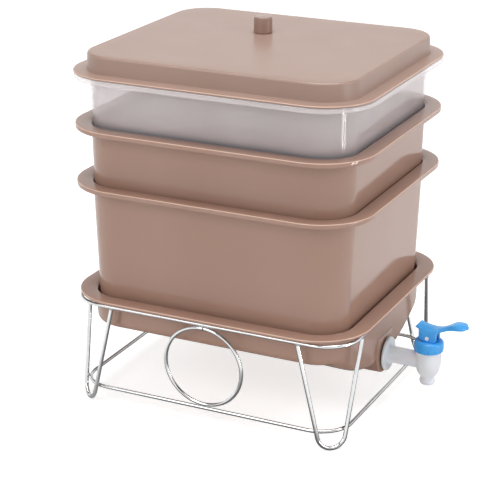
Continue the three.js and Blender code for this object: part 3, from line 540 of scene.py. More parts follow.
def tray(name, base, top, draft, ribbed):
    foot, rim = tub_outside(base, top, TRAY_LIP, draft)
    inner_foot, mouth = tub_inside(base, top, draft, TRAY_MOUTH)
    rings = [stage_ring(stage) for stage in foot + rim + mouth[::-1] + inner_foot[::-1]]
    shell = combine(loft(name, rings), holes_cutter(base, top, draft), "DIFFERENCE")
    if not ribbed:
        return shade(shell)
    return merged(name, [shell, *ribs(base, top - NEST - SEAT, top, draft)])


# The sump

def hopper_fall(x, y):
    """How far the floor lies below its highest level."""
    start = BODY[0] - HOPPER_RUN
    share = min(1.0, max(0.0, (x - start) / (BODY[0] - FLOOR_ROUND - start)))
    along = share * share * (3 - 2 * share)
    half = BODY[1] - HOPPER_MARGIN
    across = cos(y / half * pi / 2) if abs(y) < half else 0.0
    return HOPPER_DROP * along * max(across, 0.0) ** HOPPER_POWER


def hopper(name, foot, rest):
    steps = 12
    shares = [HOPPER_INNER_SHARE + (1 - HOPPER_INNER_SHARE) * step / steps for step in range(steps)]
    middle = [(*(size * share for size in foot[0][:3]), foot[0][3]) for share in shares]
    rings = [stage_ring(stage, HOPPER_SPANS, hopper_fall) for stage in middle + foot]
    return loft(name, rings + [stage_ring(stage, HOPPER_SPANS) for stage in rest])


def pocket(name, thickness):
    """The tap's pocket, a U round the tap's axis, with a rounded edge at its face."""
    edge = POCKET_ROUND - thickness / 2
    front = POCKET_FACE - thickness
    stages = [(POCKET_FACE - POCKET_LENGTH + thickness, 0.0)]
    stages += [(front - edge * back_share, POCKET_ROUND_SHARE * edge * in_share)
               for back_share, in_share in quarter(8)]
    rings = []
    for x, shrink in stages:
        half = POCKET_HALF - thickness - shrink
        bearings = [pi + pi * step / POCKET_STEPS for step in range(POCKET_STEPS + 1)]
        ring = [(x, half * cos(bearing), TAP_Z + half * sin(bearing)) for bearing in bearings]
        ring += [(x, half * side, TAP_Z + POCKET_TOP - thickness - shrink) for side in (1, 0, -1)]
        rings.append(ring)
    return loft(name, rings)


def gusset(turn, offset, wall_at, wire_at):
    under = SUMP_TOP - WALL
    inner, outer = wire_at - RING_WIRE / 2 - SEAT, wire_at + RING_WIRE / 2
    on_wire, foot = under - GUSSET_DROP, under - GUSSET_DROP - GUSSET_SHOULDER
    flat = [(wall_at - WALL / 2, under + OVERRUN), (outer, under + OVERRUN), (outer, on_wire),
            (inner, on_wire), (inner, foot), (wall_at - WALL / 2, foot)]

    def to_point(x, z, end):
        y = offset + (end - 0.5) * GUSSET_THICKNESS
        return (x * cos(turn) - y * sin(turn), x * sin(turn) + y * cos(turn), z)

    return prism("gusset", flat, to_point)


def sump(name):
    foot, rim = tub_outside(SUMP_BASE, SUMP_TOP, SUMP_LIP, DEEP_DRAFT)
    inner_foot, mouth = tub_inside(SUMP_BASE, SUMP_TOP, DEEP_DRAFT, SUMP_MOUTH)
    mouth.append((*mouth[-1][:3], SUMP_TOP + OVERRUN))
    filled = combine(hopper(name, foot, rim), pocket("pocket", 0.0), "UNION")
    hollow = combine(hopper("hollow", inner_foot, mouth), pocket("inner_pocket", WALL), "UNION")
    shell = combine(filled, hollow, "DIFFERENCE")
    bore = cylinder("bore", SHANK_HOLE, POCKET_FACE - WALL - POCKET_ROUND, POCKET_FACE + OVERRUN, 48)
    pieces = [combine(shell, lying(bore), "DIFFERENCE")]
    for sign in (-1, 1):
        for turn in (0, pi):
            pieces.append(gusset(turn, sign * GUSSET_PLACES[1], BODY[0], TOP_RING[0]))
            pieces.append(gusset(turn + pi / 2, sign * GUSSET_PLACES[0], BODY[1], TOP_RING[1]))
    pieces += ribs(SUMP_BASE, DEEP_BASE - SEAT, SUMP_TOP, DEEP_DRAFT, hopper_fall)
    return merged(name, pieces)


# The lid

def lid(name):
    half_sheet = LID_SHEET / 2
    flange_top = LID_BASE + LID_SHEET
    crown_foot = LID_TOP - LID_CROWN
    raised = (BODY[0] + LID_PROUD, BODY[1] + LID_PROUD, BODY[2])
    skirt = inset(BODY, WALL + SKIRT_GAP)
    foot = span("lid", Z)[0]
    outside = [(*inset(skirt, SKIRT_ROUND), foot), (*skirt, foot + SKIRT_ROUND),
               (*skirt, LID_BASE - SKIRT_BEND), (*inset(skirt, -SKIRT_BEND), LID_BASE)]
    outside += bend(LID_FLANGE, LID_BASE, half_sheet, half_sheet, 5)
    outside += bend(LID_FLANGE, flange_top, half_sheet, -half_sheet, 5, False)[1:]
    outside += bend(raised, flange_top, -LID_FILLET, LID_FILLET, 4)
    outside += bend(inset(raised, LID_LEAN), crown_foot, LID_ROUND, -LID_ROUND, 8, False)
    crown = inset(raised, LID_LEAN + LID_ROUND)
    outside += [(*(size * share for size in crown), LID_TOP - LID_CROWN * (1 - (1 - share) ** 0.5))
                for share in CROWN_SHARES]
    inner = inset(raised, LID_LEAN + LID_SHEET)
    ceiling, inner_round = LID_TOP - 2.5, 2.0
    inside = [(*(size * share for size in inner), ceiling) for share in (0.05, 0.5, 0.9)]
    inside += bend(inner, ceiling, inner_round, -inner_round, 5, False)[::-1]
    inner_foot = inset(inner, -LID_LEAN)
    low = inset(skirt, SKIRT_WALL)
    inside += [(*inset(inner, 0.1 - LID_LEAN), flange_top + 1.0), (*inner_foot, flange_top),
               (*low, flange_top - LID_FILLET), (*low, foot + 0.4), (*inset(skirt, SKIRT_WALL - 0.6), foot)]
    shell = loft(name, [stage_ring(stage) for stage in inside + outside])
    hole = cylinder("hole", SCREW_HOLE, ceiling - 1.5, LID_TOP + OVERRUN, 32, KNOB)
    return shade(combine(shell, hole, "DIFFERENCE"))


def knob(name):
    hole_top = KNOB_BASE + 12.0
    profile = [(0, hole_top + 1.2), (SCREW_HOLE, hole_top), (SCREW_HOLE, KNOB_BASE),
               (KNOB_RADII[0], KNOB_BASE), (KNOB_RADII[1], KNOB_TOP), (0, KNOB_TOP)]
    return turned(name, fillet(profile, 1.0, 5), 72, KNOB)


def screw(name):
    """A cross-headed screw, its head down."""
    head_top = SCREW_FOOT + SCREW_HEAD_HEIGHT
    profile = [(0, SCREW_FOOT), (SCREW_HEAD_FOOT, SCREW_FOOT),
               (SCREW_HEAD, SCREW_FOOT + SCREW_HEAD_HEIGHT / 2), (SCREW_HEAD, head_top),
               (SCREW_SHANK, head_top), (SCREW_SHANK, head_top + SCREW_GRIP),
               (0, head_top + SCREW_GRIP + SCREW_TIP)]
    body = turned(name, fillet(profile, 0.4, 3), 40, KNOB)
    length, width, depth = SCREW_SLOT

    def to_point(u, v, end):
        return (KNOB[0] + u, KNOB[1] + v, SCREW_FOOT + (depth if end else -0.6))

    for wide, deep in ((length, width), (width, length)):
        flat = [(x * wide / 2, y * deep / 2) for x, y in ((-1, -1), (1, -1), (1, 1), (-1, 1))]
        combine(body, prism("slot", flat, to_point), "DIFFERENCE")
    return shade(body)


# Wires

def tube(name, path, diameter, closed, sides=20):
    """A round wire along a path, with a frame that doesn't twist. A closed path lies in one plane."""
    path = [Vector(point) for point in path]
    line = [path[-1], *path, path[0]] if closed else [path[0], *path, path[-1]]
    tangents = [(after - before).normalized() for before, after in zip(line, line[2:])]
    side = tangents[0].orthogonal().normalized()
    rings = []
    for middle, tangent in zip(path, tangents):
        side = (side - tangent * side.dot(tangent)).normalized()
        up = tangent.cross(side)
        rings.append([middle + (side * cos(angle) + up * sin(angle)) * diameter / 2
                      for angle in turns(sides)])
    points, numbers, faces = skin(rings)
    if closed:
        faces += band(numbers[-1], numbers[0])
    else:
        faces += wire_end(points, numbers[0], -tangents[0] * diameter, 1)
        faces += wire_end(points, numbers[-1], tangents[-1] * diameter, -1)
    return make(name, points, faces, 40)


def wire_end(points, ring, outward, flip):
    """A wire's end with a small chamfer. Adds its points and returns its faces."""
    narrow_share, proud_share = 0.86, 0.05
    middle = sum((points[index] for index in ring), Vector()) / len(ring)
    inner = range(len(points), len(points) + len(ring))
    points += [middle + (points[index] - middle) * narrow_share + outward * proud_share
               for index in ring]
    return [face[::-flip] for face in (*band(ring, inner), inner)]


def ring_path(half_x, half_y, corner, z):
    return [(x, y, z) for x, y in outline(half_x, half_y, corner, (30, 30, 30, 30), 24)]


def leg_path(sign_x, sign_y):
    """A hairpin across a corner, leaning so that its foot's bend clears the bottom ring."""
    top_z = TOP_RING[3] - (RING_WIRE / 2 + SEAT + LEG_DROP)
    end_x, end_y = (TOP_RING[axis] - TOP_RING[2] - LEG_SETBACK[axis] for axis in (X, Y))
    long_end = Vector((sign_x * end_x, sign_y * TOP_RING[1], top_z))
    short_end = Vector((sign_x * TOP_RING[0], sign_y * end_y, top_z))
    across = (short_end - long_end).normalized()
    outward = Vector((sign_x * abs(across.y), sign_y * abs(across.x), 0))
    reach = BOTTOM_RING[2] + (RING_WIRE + LEG_WIRE) / 2 + SEAT
    passing = bend_middle(sign_x, sign_y) + outward * sqrt(reach ** 2 - LEG_BEND ** 2)
    middle = (long_end + short_end) / 2
    slide = (passing - middle).dot(across)
    down = (passing - middle - across * slide).normalized()
    length = (top_z - LEG_WIRE / 2) / -down.z - LEG_BEND
    foot = middle + down * length + across * slide

    def tangent_angle(end, side):
        offset = end - foot
        along, up = offset.dot(across) * side, -offset.dot(down)
        return atan2(up, along) - acos(LEG_BEND / hypot(along, up))

    start = pi - tangent_angle(long_end, -1)
    stop = 2 * pi + tangent_angle(short_end, 1)
    points = []
    for step in range(LEG_BEND_STEPS + 1):
        angle = start + (stop - start) * step / LEG_BEND_STEPS
        points.append(foot + (across * cos(angle) - down * sin(angle)) * LEG_BEND)
    shares = [step / LEG_RUN_STEPS for step in range(LEG_RUN_STEPS + 1)]
    descent = [long_end.lerp(points[0], share) for share in shares[:-1]]
    return descent + points + [points[-1].lerp(short_end, share) for share in shares[1:]]


def bend_middle(sign_x, sign_y):
    """The middle of a bend of the bottom ring."""
    return Vector((sign_x * (BOTTOM_RING[0] - BOTTOM_RING[2]),
                   sign_y * (BOTTOM_RING[1] - BOTTOM_RING[2]), BOTTOM_RING[3]))


def bead(centre, size, axis, seed):
    """A small lump of weld, longer along the given axis."""
    rows, columns, lumpiness, lump_scale = 8, 12, 0.16, 2.1
    rotation = Vector(axis).to_track_quat("Z", "Y")
    shift = Vector((seed * 3.7, seed, 0))
    rings = []
    for row in range(rows + 1):
        polar = pi * row / rows
        rings.append([])
        for angle in turns(columns):
            point = Vector((sin(polar) * cos(angle), sin(polar) * sin(angle), cos(polar)))
            lump = 1 + lumpiness * noise.noise(point * lump_scale + shift)
            sized = Vector((point.x * size[0], point.y * size[0], point.z * size[1]))
            rings[-1].append(centre + rotation @ sized * lump)
    points, _, faces = skin(rings[::-1])
    return make("bead", points, faces, 60)


def leg_beads(path, sign_x, sign_y, seed):
    """Welds at a leg's two ends, and a double one where its short end's strand touches the ring."""
    rise = Vector((0, 0, END_BEAD_RISE))
    found = [bead(path[0] + rise, END_BEAD, (1, 0, 0), seed),
             bead(path[-1] + rise, END_BEAD, (0, 1, 0), seed + 1)]
    spot = min(path[len(path) // 2:], key=lambda point: abs(point.z - BOTTOM_RING[3]))
    inward = bend_middle(sign_x, sign_y) - spot
    inward.z = 0
    touch = Vector((spot.x, spot.y, BOTTOM_RING[3])) + inward.normalized() * CROSSING_BEAD_REACH
    return found + [bead(touch, CROSSING_BEAD, (0, 0, 1), seed + lump) for lump in (2, 3)]


# The tap

def tap_body(name):
    inner_end = FLANGE_BACK - SHANK_REACH
    front = FLANGE_BACK + FLANGE_THICKNESS
    level = [(0, inner_end), (SHANK - SHANK_CHAMFER, inner_end), (SHANK, inner_end + SHANK_CHAMFER),
             (SHANK, FLANGE_BACK), (FLANGE - FLANGE_CHAMFER, FLANGE_BACK),
             (FLANGE, FLANGE_BACK + FLANGE_CHAMFER)]
    level += [(FLANGE - FLANGE_ROUND * in_share, front - FLANGE_ROUND * up_share)
              for in_share, up_share in quarter(5, False)]
    level += [(PIPE + PIPE_FILLET * out_share, front + PIPE_FILLET * up_share)
              for out_share, up_share in quarter(8)]
    level += [(PIPE, VALVE[0]), (0, VALVE[0])]
    pipe = lying(turned("pipe", level, 72))
    end = TAP_Z - SPOUT_DROP
    upright = [(0, end), (SPOUT - SPOUT_CHAMFER, end), (SPOUT, end + SPOUT_CHAMFER)]
    upright += [(SPOUT + outwards, end + SPOUT_BEAD_RISE + rise) for outwards, rise in SPOUT_BEAD]
    for angle in arc(14):
        share = cos(angle) ** CHAMBER_POWER
        upright.append((SPOUT + (CHAMBER - SPOUT) * sin(angle),
                        TAP_Z - CHAMBER_DROP * (1 - share) - CHAMBER_NARROW_DROP * share))
    shoulder, top = TAP_Z + CHAMBER_SHOULDER, TAP_Z + NECK_TOP
    upright += [(CHAMBER, shoulder - CHAMBER_CHAMFER), (CHAMBER - CHAMBER_CHAMFER, shoulder),
                (NECK, shoulder), (NECK, top - NECK_CHAMFER), (NECK - NECK_CHAMFER, top), (0, top)]
    chamber = turned(name, upright, 72, VALVE)
    level_bore = lying(cylinder("bore", PIPE_BORE, inner_end - OVERRUN, VALVE[0], 48))
    upright_bore = turned("bore", [
        (0, end - OVERRUN), (SPOUT_BORE, end - OVERRUN), (SPOUT_BORE, TAP_Z - SEAT_BOTTOM_DROP),
        (CHAMBER_BORE, TAP_Z - SEAT_TOP_DROP), (CHAMBER_BORE, top + OVERRUN), (0, top + OVERRUN)],
        48, VALVE)
    combine(chamber, pipe, "UNION")
    combine(chamber, level_bore, "DIFFERENCE")
    combine(chamber, upright_bore, "DIFFERENCE")
    return shade(chamber, 30)


def bonnet(name):
    ceiling = BONNET_TOP - BONNET_ROOF
    profile = [(BONNET_INSIDE, BONNET_BOTTOM), (BONNET - 1.0, BONNET_BOTTOM), (BONNET, BONNET_BOTTOM + 1.0),
               (BONNET, BONNET_TOP - BONNET_CHAMFER), (BONNET - BONNET_CHAMFER, BONNET_TOP),
               (STEM_HOLE, BONNET_TOP), (STEM_HOLE, ceiling), (BONNET_INSIDE, ceiling)]
    cap = turned(name, fillet(profile, 0.7, 4), 96, VALVE)
    notch = [(0, BONNET_BOTTOM - OVERRUN), (NOTCH, BONNET_BOTTOM - OVERRUN), (NOTCH, BONNET_BOTTOM + 4.0),
             (NOTCH - 0.4, BONNET_BOTTOM + 4.8), (0, BONNET_BOTTOM + 5.0)]
    away = BONNET + NOTCH - NOTCH_DEPTH
    cutters = []
    for angle in turns(NOTCHES):
        bearing = angle + pi / NOTCHES
        centre = (VALVE[0] + away * cos(bearing), away * sin(bearing))
        cutters.append(turned("notch", notch, 20, centre))
    return shade(combine(cap, merged("notches", cutters), "DIFFERENCE"))


def stem(name):
    profile = [(0, STEM_FOOT), (STEM, STEM_FOOT), (STEM, PIN_Z - 2.9), (STEM_HEAD, PIN_Z - 2.4),
               (STEM_HEAD, PIN_Z + 1.2), (STEM_HEAD / 2, PIN_Z + 2.4), (0, PIN_Z + 2.4)]
    shaft = turned(name, fillet(profile, 0.4, 3), 40, VALVE)
    pin = turned("pin", fillet([(0, -PIN_HALF), (PIN, -PIN_HALF), (PIN, PIN_HALF), (0, PIN_HALF)], 0.5, 3),
                 40)
    return shade(combine(shaft, on_pin(pin), "UNION"))


def plug(name):
    foot, widest, top = PLUG_RADII
    lip = STEM_FOOT - SEAT
    profile = [(0, PLUG_BOTTOM), (foot, PLUG_BOTTOM), (widest, TAP_Z - SEAT_TOP_DROP), (top, PLUG_TOP),
               (STEM_HOLE, PLUG_TOP), (STEM_HOLE, lip), (0, lip)]
    return turned(name, fillet(profile, 0.5), 64, VALVE)


def curve_points(start, segments, steps=10):
    """Points along straight runs, quadratic and cubic bends, given by their control points."""
    points = [Vector(start)]
    for controls in segments:
        knots = [points[-1]] + [Vector(point) for point in controls]
        count = 1 if len(knots) == 2 else steps
        for step in range(1, count + 1):
            chain = knots
            while len(chain) > 1:
                chain = [near.lerp(far, step / count) for near, far in zip(chain, chain[1:])]
            points.append(chain[0])
    return points


def lever(name):
    side = curve_points(LEVER_SIDE_START, LEVER_SIDE)
    plan = curve_points(LEVER_PLAN_START, LEVER_PLAN)
    plan += [Vector((point.x, -point.y)) for point in plan[-2::-1]]
    beyond, below, above = 12.0, -6.0, 24.0

    def across(half):
        return lambda u, v, end: (VALVE[0] + u, half if end else -half, PIN_Z + v)

    body = prism(name, side, across(beyond))
    cut = prism("plan", plan, lambda u, v, end: (VALVE[0] + u, v, PIN_Z + (above if end else below)))
    combine(body, cut, "INTERSECT")
    bevelled(body, LEVER_BEVEL, 3, 35)
    combine(body, prism("slot", LEVER_SLOT, across(LEVER_SLOT_HALF)), "DIFFERENCE")
    hole = outward_normals(on_pin(cylinder("hole", PIN_HOLE, -beyond, beyond, 40)))
    combine(body, hole, "DIFFERENCE")
    return shade(body, 30)


def gasket(name, node, radius):
    """A flat ring round the tap's shank, where the frame has it."""
    start, end = span(node, X)
    profile = [(SHANK_HOLE, start), (radius, start), (radius, end), (SHANK_HOLE, end)]
    return lying(turned(name, fillet(profile, 0.3, 3), 64))


def lock_nut(name):
    low, face = span("tap_lock_nut", X)
    collar = low + NUT_HEIGHT
    profile = [(SHANK_HOLE, low), (NUT, low), (NUT, collar), (NUT_COLLAR, collar), (NUT_COLLAR, face),
               (SHANK_HOLE, face)]
    nut = lying(turned(name, fillet(profile, 0.3, 3), 96))
    flat = [(NUT * cos(angle), NUT * sin(angle)) for angle in turns(6)]
    hexagon = prism("hexagon", flat, lambda u, v, end: (face if end else low - OVERRUN, u, TAP_Z + v))
    return shade(combine(nut, hexagon, "INTERSECT"), 25)


# Materials

def srgb(values):
    """A colour from 0 to 255 on each channel, as Blender's linear one."""
    shares = [value / 255 for value in values]
    return (*(share / 12.92 if share <= 0.04045 else ((share + 0.055) / 1.055) ** 2.4
              for share in shares), 1.0)


class Nodes:
    """A small hand for building node trees."""

    def __init__(self, tree):
        self.tree = tree

    def link(self, source, target):
        self.tree.links.new(source, target)

    def give(self, socket, value):
        """Sets a socket to a plain value, or links it to another socket."""
        if isinstance(value, (tuple, float, int)):
            socket.default_value = value
        else:
            self.link(value, socket)

    def add(self, kind, inputs=(), **settings):
        node = self.tree.nodes.new(kind)
        for key, value in settings.items():
            setattr(node, key, value)
        for key, value in dict(inputs).items():
            self.give(node.inputs[key], value)
        return node

    def spread(self, source, low, high, start=0.3, end=0.7, **settings):
        """Takes the range from start to end to the one from low to high."""
        node = self.add("ShaderNodeMapRange", {
            "Value": source, "From Min": start, "From Max": end, "To Min": low, "To Max": high}, **settings)
        return node.outputs["Result"]

    def maths(self, operation, first, second=0.0):
        node = self.add("ShaderNodeMath", {0: first, 1: second}, operation=operation)
        return node.outputs[0]

    def split(self, source):
        return self.add("ShaderNodeSeparateXYZ", {0: source}).outputs

    def rays(self):
        """Whether a ray is seen directly or through something clear, and whether in a reflection."""
        found = self.add("ShaderNodeLightPath").outputs
        direct = self.maths("MAXIMUM", found["Is Camera Ray"], found["Is Transmission Ray"])
        return direct, found["Is Glossy Ray"]

    def surfaces(self, share, first, second):
        return self.add("ShaderNodeMixShader", {0: share, 1: first, 2: second}).outputs[0]


class Shader(Nodes):
    """A material with one Principled surface, placed by its object's own coordinates."""

    def __init__(self, name):
        self.name = name
        self.material = bpy.data.materials.new(name)
        self.material.use_nodes = True
        super().__init__(self.material.node_tree)
        self.surface = self.tree.nodes["Principled BSDF"]
        self.place = self.add("ShaderNodeTexCoord").outputs["Object"]

    def set(self, **values):
        """Gives the surface's sockets, named with _ for a space."""
        for key, value in values.items():
            self.give(self.surface.inputs[key.replace("_", " ")], value)

    def noise(self, scale, detail=3.0, stretch=(1, 1, 1), roughness=0.5):
        mapping = self.add("ShaderNodeMapping", {"Vector": self.place, "Scale": stretch})
        texture = self.add("ShaderNodeTexNoise", {
            "Vector": mapping.outputs[0], "Scale": scale, "Detail": detail, "Roughness": roughness})
        return texture.outputs["Fac"]

    def mix(self, share, first, second):
        node = self.add("ShaderNodeMix", data_type="RGBA")
        sockets = [node.inputs[0]] + [socket for socket in node.inputs if socket.type == "RGBA"]
        for socket, value in zip(sockets, (share, first, second)):
            self.give(socket, value)
        return [socket for socket in node.outputs if socket.type == "RGBA"][0]

    def bump(self, heights, distance):
        node = self.add("ShaderNodeBump", {"Height": heights, "Distance": distance, "Strength": 1.0})
        self.set(Normal=node.outputs["Normal"])

    def painted_rim_highlight(self):
        """Mask for a painted highlight: one on the rounded upper edge of a rim, nought elsewhere, from the
        shape alone.
        """
        spot = self.split(self.place)
        beyond = []
        for axis, middle, half in (("X", MIDDLE_X, RIM[0]), ("Y", 0.0, RIM[1])):
            away = self.maths("ABSOLUTE", self.maths("SUBTRACT", spot[axis], middle * MM))
            past = self.maths("MAXIMUM", self.maths("SUBTRACT", away, (half - RIM[2]) * MM), 0.0)
            beyond.append(self.maths("POWER", past, 2.0))
        radius = self.maths("SQRT", self.maths("ADD", *beyond))
        outer = self.spread(radius, 0.0, 1.0, (RIM[2] - 4.0) * MM, (RIM[2] - 2.5) * MM)
        facing = self.split(self.add("ShaderNodeTexCoord").outputs["Normal"])["Z"]
        lifted = self.spread(facing, 0.0, 1.0, 0.1, 0.4)
        level = self.spread(facing, 1.0, 0.0, 0.95, 0.998)
        return self.maths("MULTIPLY", outer, self.maths("MULTIPLY", lifted, level))


def moulded(name, colour, pale, dark, rough, grain, depth, waves=8.0, gloss=0.5, edge=None):
    """Injection-moulded plastic: soft flow marks, a fine grain, faint scuffs and rubbed places.

    The grain is a scale, and depth is its height in metres. The waves are that many times higher.
    An edge is a paler colour painted along the rim's upper edge as a highlight.
    """
    colour, pale, dark = srgb(colour), srgb(pale), srgb(dark)
    shader = Shader(name)
    clouds = shader.spread(shader.noise(5.0, 0.0), 0.0, 1.0, 0.2, 0.8)
    flow = shader.spread(shader.noise(14.0, 0.0, (1, 1, 0.3)), 0.0, 0.4, 0.2, 0.8)
    base = shader.mix(flow, shader.mix(clouds, dark, colour), pale)
    scuffs = shader.spread(shader.noise(240.0, 4.0, (1, 1, 0.1), 0.7), 0.0, 0.1, 0.6, 0.85)
    base = shader.mix(scuffs, base, pale)
    # Painted highlight: the edge colour is laid along the rim's rounded upper edge.
    if edge:
        base = shader.mix(shader.painted_rim_highlight(), base, srgb(edge))
    rubbed = shader.spread(shader.noise(30.0, 1.0), rough - 0.02, rough + 0.02, 0.2, 0.8)
    rubbed = shader.maths("ADD", rubbed, shader.maths("MULTIPLY", scuffs, 0.1))
    broad = shader.maths("MULTIPLY", shader.noise(9.0, 1.0), waves)
    shader.bump(shader.maths("ADD", shader.noise(grain, 2.0), broad), depth)
    shader.set(Base_Color=base, Roughness=rubbed, IOR=1.5, Specular_IOR_Level=gloss)
    return shader


def clear(name):
    """Clouded plastic: part of the light goes straight through, the rest is scattered.

    A soft painted shade line, dark blue-grey, marks where the tray sits in the rim of the one below.
    """
    # The edge colour is a painted highlight along the rim's upper edge.
    shader = moulded(name, (252, 240, 240), pale=(254, 247, 248), dark=(247, 234, 235),
                     rough=0.04, grain=500.0, depth=0.00001, waves=2.0, edge=(252, 252, 253))
    haze = shader.spread(shader.noise(6.0, 2.0), 0.34, 0.42)
    height = shader.split(shader.place)["Z"]
    # Painted shade: a dark blue-grey band, also less clear, centred on the height of the lower tray's rim.
    shade_band_foot, shade_band_top = SHALLOW_TOP - 5.0, SHALLOW_TOP + 8.0
    above = shader.spread(height, 1.0, 0.0, SHALLOW_TOP * MM, shade_band_top * MM)
    below = shader.spread(height, 0.0, 1.0, shade_band_foot * MM, SHALLOW_TOP * MM)
    line = shader.maths("MULTIPLY", above, below)
    base = shader.surface.inputs["Base Color"].links[0].from_socket
    shader.set(IOR=1.7, Alpha=shader.maths("ADD", haze, shader.maths("MULTIPLY", line, 0.2)),
               Base_Color=shader.mix(shader.maths("MULTIPLY", line, 0.85), base, srgb((132, 136, 146))))
    return shader


def chrome(name):
    """Plated wire with smears and small dull spots."""
    shader = Shader(name)
    tone = shader.spread(shader.noise(60.0, 4.0), 0.0, 1.0)
    base = shader.mix(tone, (0.72, 0.73, 0.74, 1), (0.82, 0.82, 0.82, 1))
    spots = shader.spread(shader.noise(420.0, 3.0, roughness=0.7), 0.0, 0.5, 0.66, 0.8)
    smears = shader.spread(shader.noise(90.0, 4.0), 0.06, 0.14)
    shader.set(Base_Color=shader.mix(spots, base, (0.42, 0.39, 0.36, 1)), Metallic=1.0,
               Roughness=shader.maths("ADD", smears, shader.maths("MULTIPLY", spots, 0.2)))
    shader.bump(shader.noise(300.0, 3.0), 0.00004)
    return shader


def steel(name, colour=(0.55, 0.55, 0.56, 1), stain=(0.34, 0.33, 0.32, 1)):
    shader = Shader(name)
    tone = shader.spread(shader.noise(240.0, 4.0), 0.0, 1.0)
    shader.set(Base_Color=shader.mix(tone, colour, stain), Metallic=1.0,
               Roughness=shader.spread(shader.noise(500.0, 3.0), 0.28, 0.5))
    shader.bump(shader.noise(700.0, 3.0), 0.00008)
    return shader


def soft(name, colour, pale, rough):
    """Rubber or silicone with a little dust."""
    colour, pale = srgb(colour), srgb(pale)
    shader = Shader(name)
    tone = shader.spread(shader.noise(120.0, 4.0), 0.0, 1.0)
    dust = shader.spread(shader.noise(500.0, 4.0, roughness=0.7), 0.0, 0.6, 0.55, 0.75)
    shader.set(Base_Color=shader.mix(dust, shader.mix(tone, colour, pale), pale),
               Roughness=shader.spread(shader.noise(200.0, 3.0), rough - 0.06, rough + 0.06))
    shader.bump(shader.noise(900.0, 3.0), 0.00008)
    return shader


def dress(obj, shader, body, *nodes, slot=None):
    """Gives a piece its material and body, and hides the named nodes. Its slot, else the material's name,
    is worked out but not given.
    """
    obj.data.materials.clear()
    obj.data.materials.append(shader.material)
    for face in obj.data.polygons:
        face.material_index = 0
    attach(obj, body)
    if nodes:
        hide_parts(*nodes)
    slot or shader.name


# The edge colours below are painted highlights along the rims' upper edges.
brown = moulded("brown_plastic", (174, 139, 122), pale=(180, 147, 131), dark=(169, 134, 117),
                rough=0.1, grain=700.0, depth=0.00002, waves=6.0, edge=(226, 190, 170))
lid_brown = moulded("lid_plastic", (165, 137, 124), pale=(171, 144, 132), dark=(160, 132, 119),
                    rough=0.31, grain=1100.0, depth=0.00006, waves=1.0, edge=(208, 174, 156))
knob_brown = moulded("knob_plastic", (150, 119, 104), pale=(158, 128, 114), dark=(144, 113, 98),
                     rough=0.16, grain=1100.0, depth=0.00006, waves=1.0, gloss=0.9)
white = moulded("white_plastic", (243, 247, 254), pale=(248, 251, 255), dark=(238, 242, 251),
                rough=0.31, grain=900.0, depth=0.00006)
white.set(Subsurface_Weight=0.25, Subsurface_Scale=0.004)
blue = moulded("blue_plastic", (60, 168, 246), pale=(92, 186, 250), dark=(52, 158, 240),
               rough=0.22, grain=900.0, depth=0.00006)
clear_plastic = clear("clear_plastic")
wire = chrome("chrome_wire")
weld = steel("weld", (0.42, 0.42, 0.42, 1))
scorched = steel("scorched_weld", (0.07, 0.065, 0.06, 1), (0.02, 0.02, 0.02, 1))
screw_steel = steel("screw_steel")
rubber = soft("black_rubber", (52, 52, 54), (84, 84, 86), 0.7)
silicone = soft("silicone", (206, 206, 200), (224, 224, 220), 0.5)

# The stand
dress(tube("ring_top", ring_path(*TOP_RING), RING_WIRE, True), wire, "stand", "stand_top_ring")
dress(tube("ring_bottom", ring_path(*BOTTOM_RING), RING_WIRE, True), wire, "stand", "stand_bottom_ring")
beads, seams = [], []
for sign_y, end in ((-1, "front"), (1, "back")):
    high, low = (Vector((0, sign_y * ring[1], ring[3])) for ring in (TOP_RING, BOTTOM_RING))
    centre, radius = (high + low) / 2, (high - low).length / 2 - RING_WIRE - SEAT
    sideways, upward = Vector((1, 0, 0)), (high - low).normalized()
    path = [centre + (sideways * cos(angle) + upward * sin(angle)) * radius for angle in turns(120)]
    dress(tube("circle_" + end, path, RING_WIRE, True), wire, "stand", "stand_%s_circle" % end)
    seam = centre + (sideways * cos(SEAM_BEARING) + upward * sin(SEAM_BEARING)) * radius
    along = (upward * cos(SEAM_BEARING) - sideways * sin(SEAM_BEARING)) * SEAM_LENGTH / 2
    seams.append(tube("seam", [seam - along, seam + along], RING_WIRE + 2 * SEAM_PROUD, False))
    for way in (1, -1):
        touch = centre + upward * way * (radius + (RING_WIRE + SEAT) / 2)
        beads.append(bead(touch, CIRCLE_BEAD, (1, 0, 0), len(beads)))
    for sign_x, hand in ((-1, "left"), (1, "right")):
        path = leg_path(sign_x, sign_y)
        dress(tube("leg_%s_%s" % (end, hand), path, LEG_WIRE, False), wire, "stand",
              "stand_leg_%s_%s" % (end, hand))
        beads += leg_beads(path, sign_x, sign_y, len(beads))
dress(merged("stand_welds", beads), weld, "stand", slot="chrome_wire")
dress(merged("stand_seams", seams), scorched, "stand", slot="chrome_wire")

# The trays, the sump and the lid
dress(sump("sump"), brown, "sump", "sump_tray")
dress(tray("tray_deep", DEEP_BASE, DEEP_TOP, DEEP_DRAFT, True), brown, "deep_tray", "deep_tray")
dress(tray("tray_shallow", SHALLOW_BASE, SHALLOW_TOP, SHALLOW_DRAFT, True), brown, "shallow_tray",
      "shallow_tray")
dress(tray("tray_clear", CLEAR_BASE, CLEAR_TOP, SHALLOW_DRAFT, False), clear_plastic, "clear_tray",
      "clear_tray")
dress(lid("lid_shell"), lid_brown, "lid", "lid")
dress(knob("knob"), knob_brown, "lid", "lid_knob", slot="lid_plastic")
dress(screw("knob_screw"), screw_steel, "lid", "lid_knob_screw")

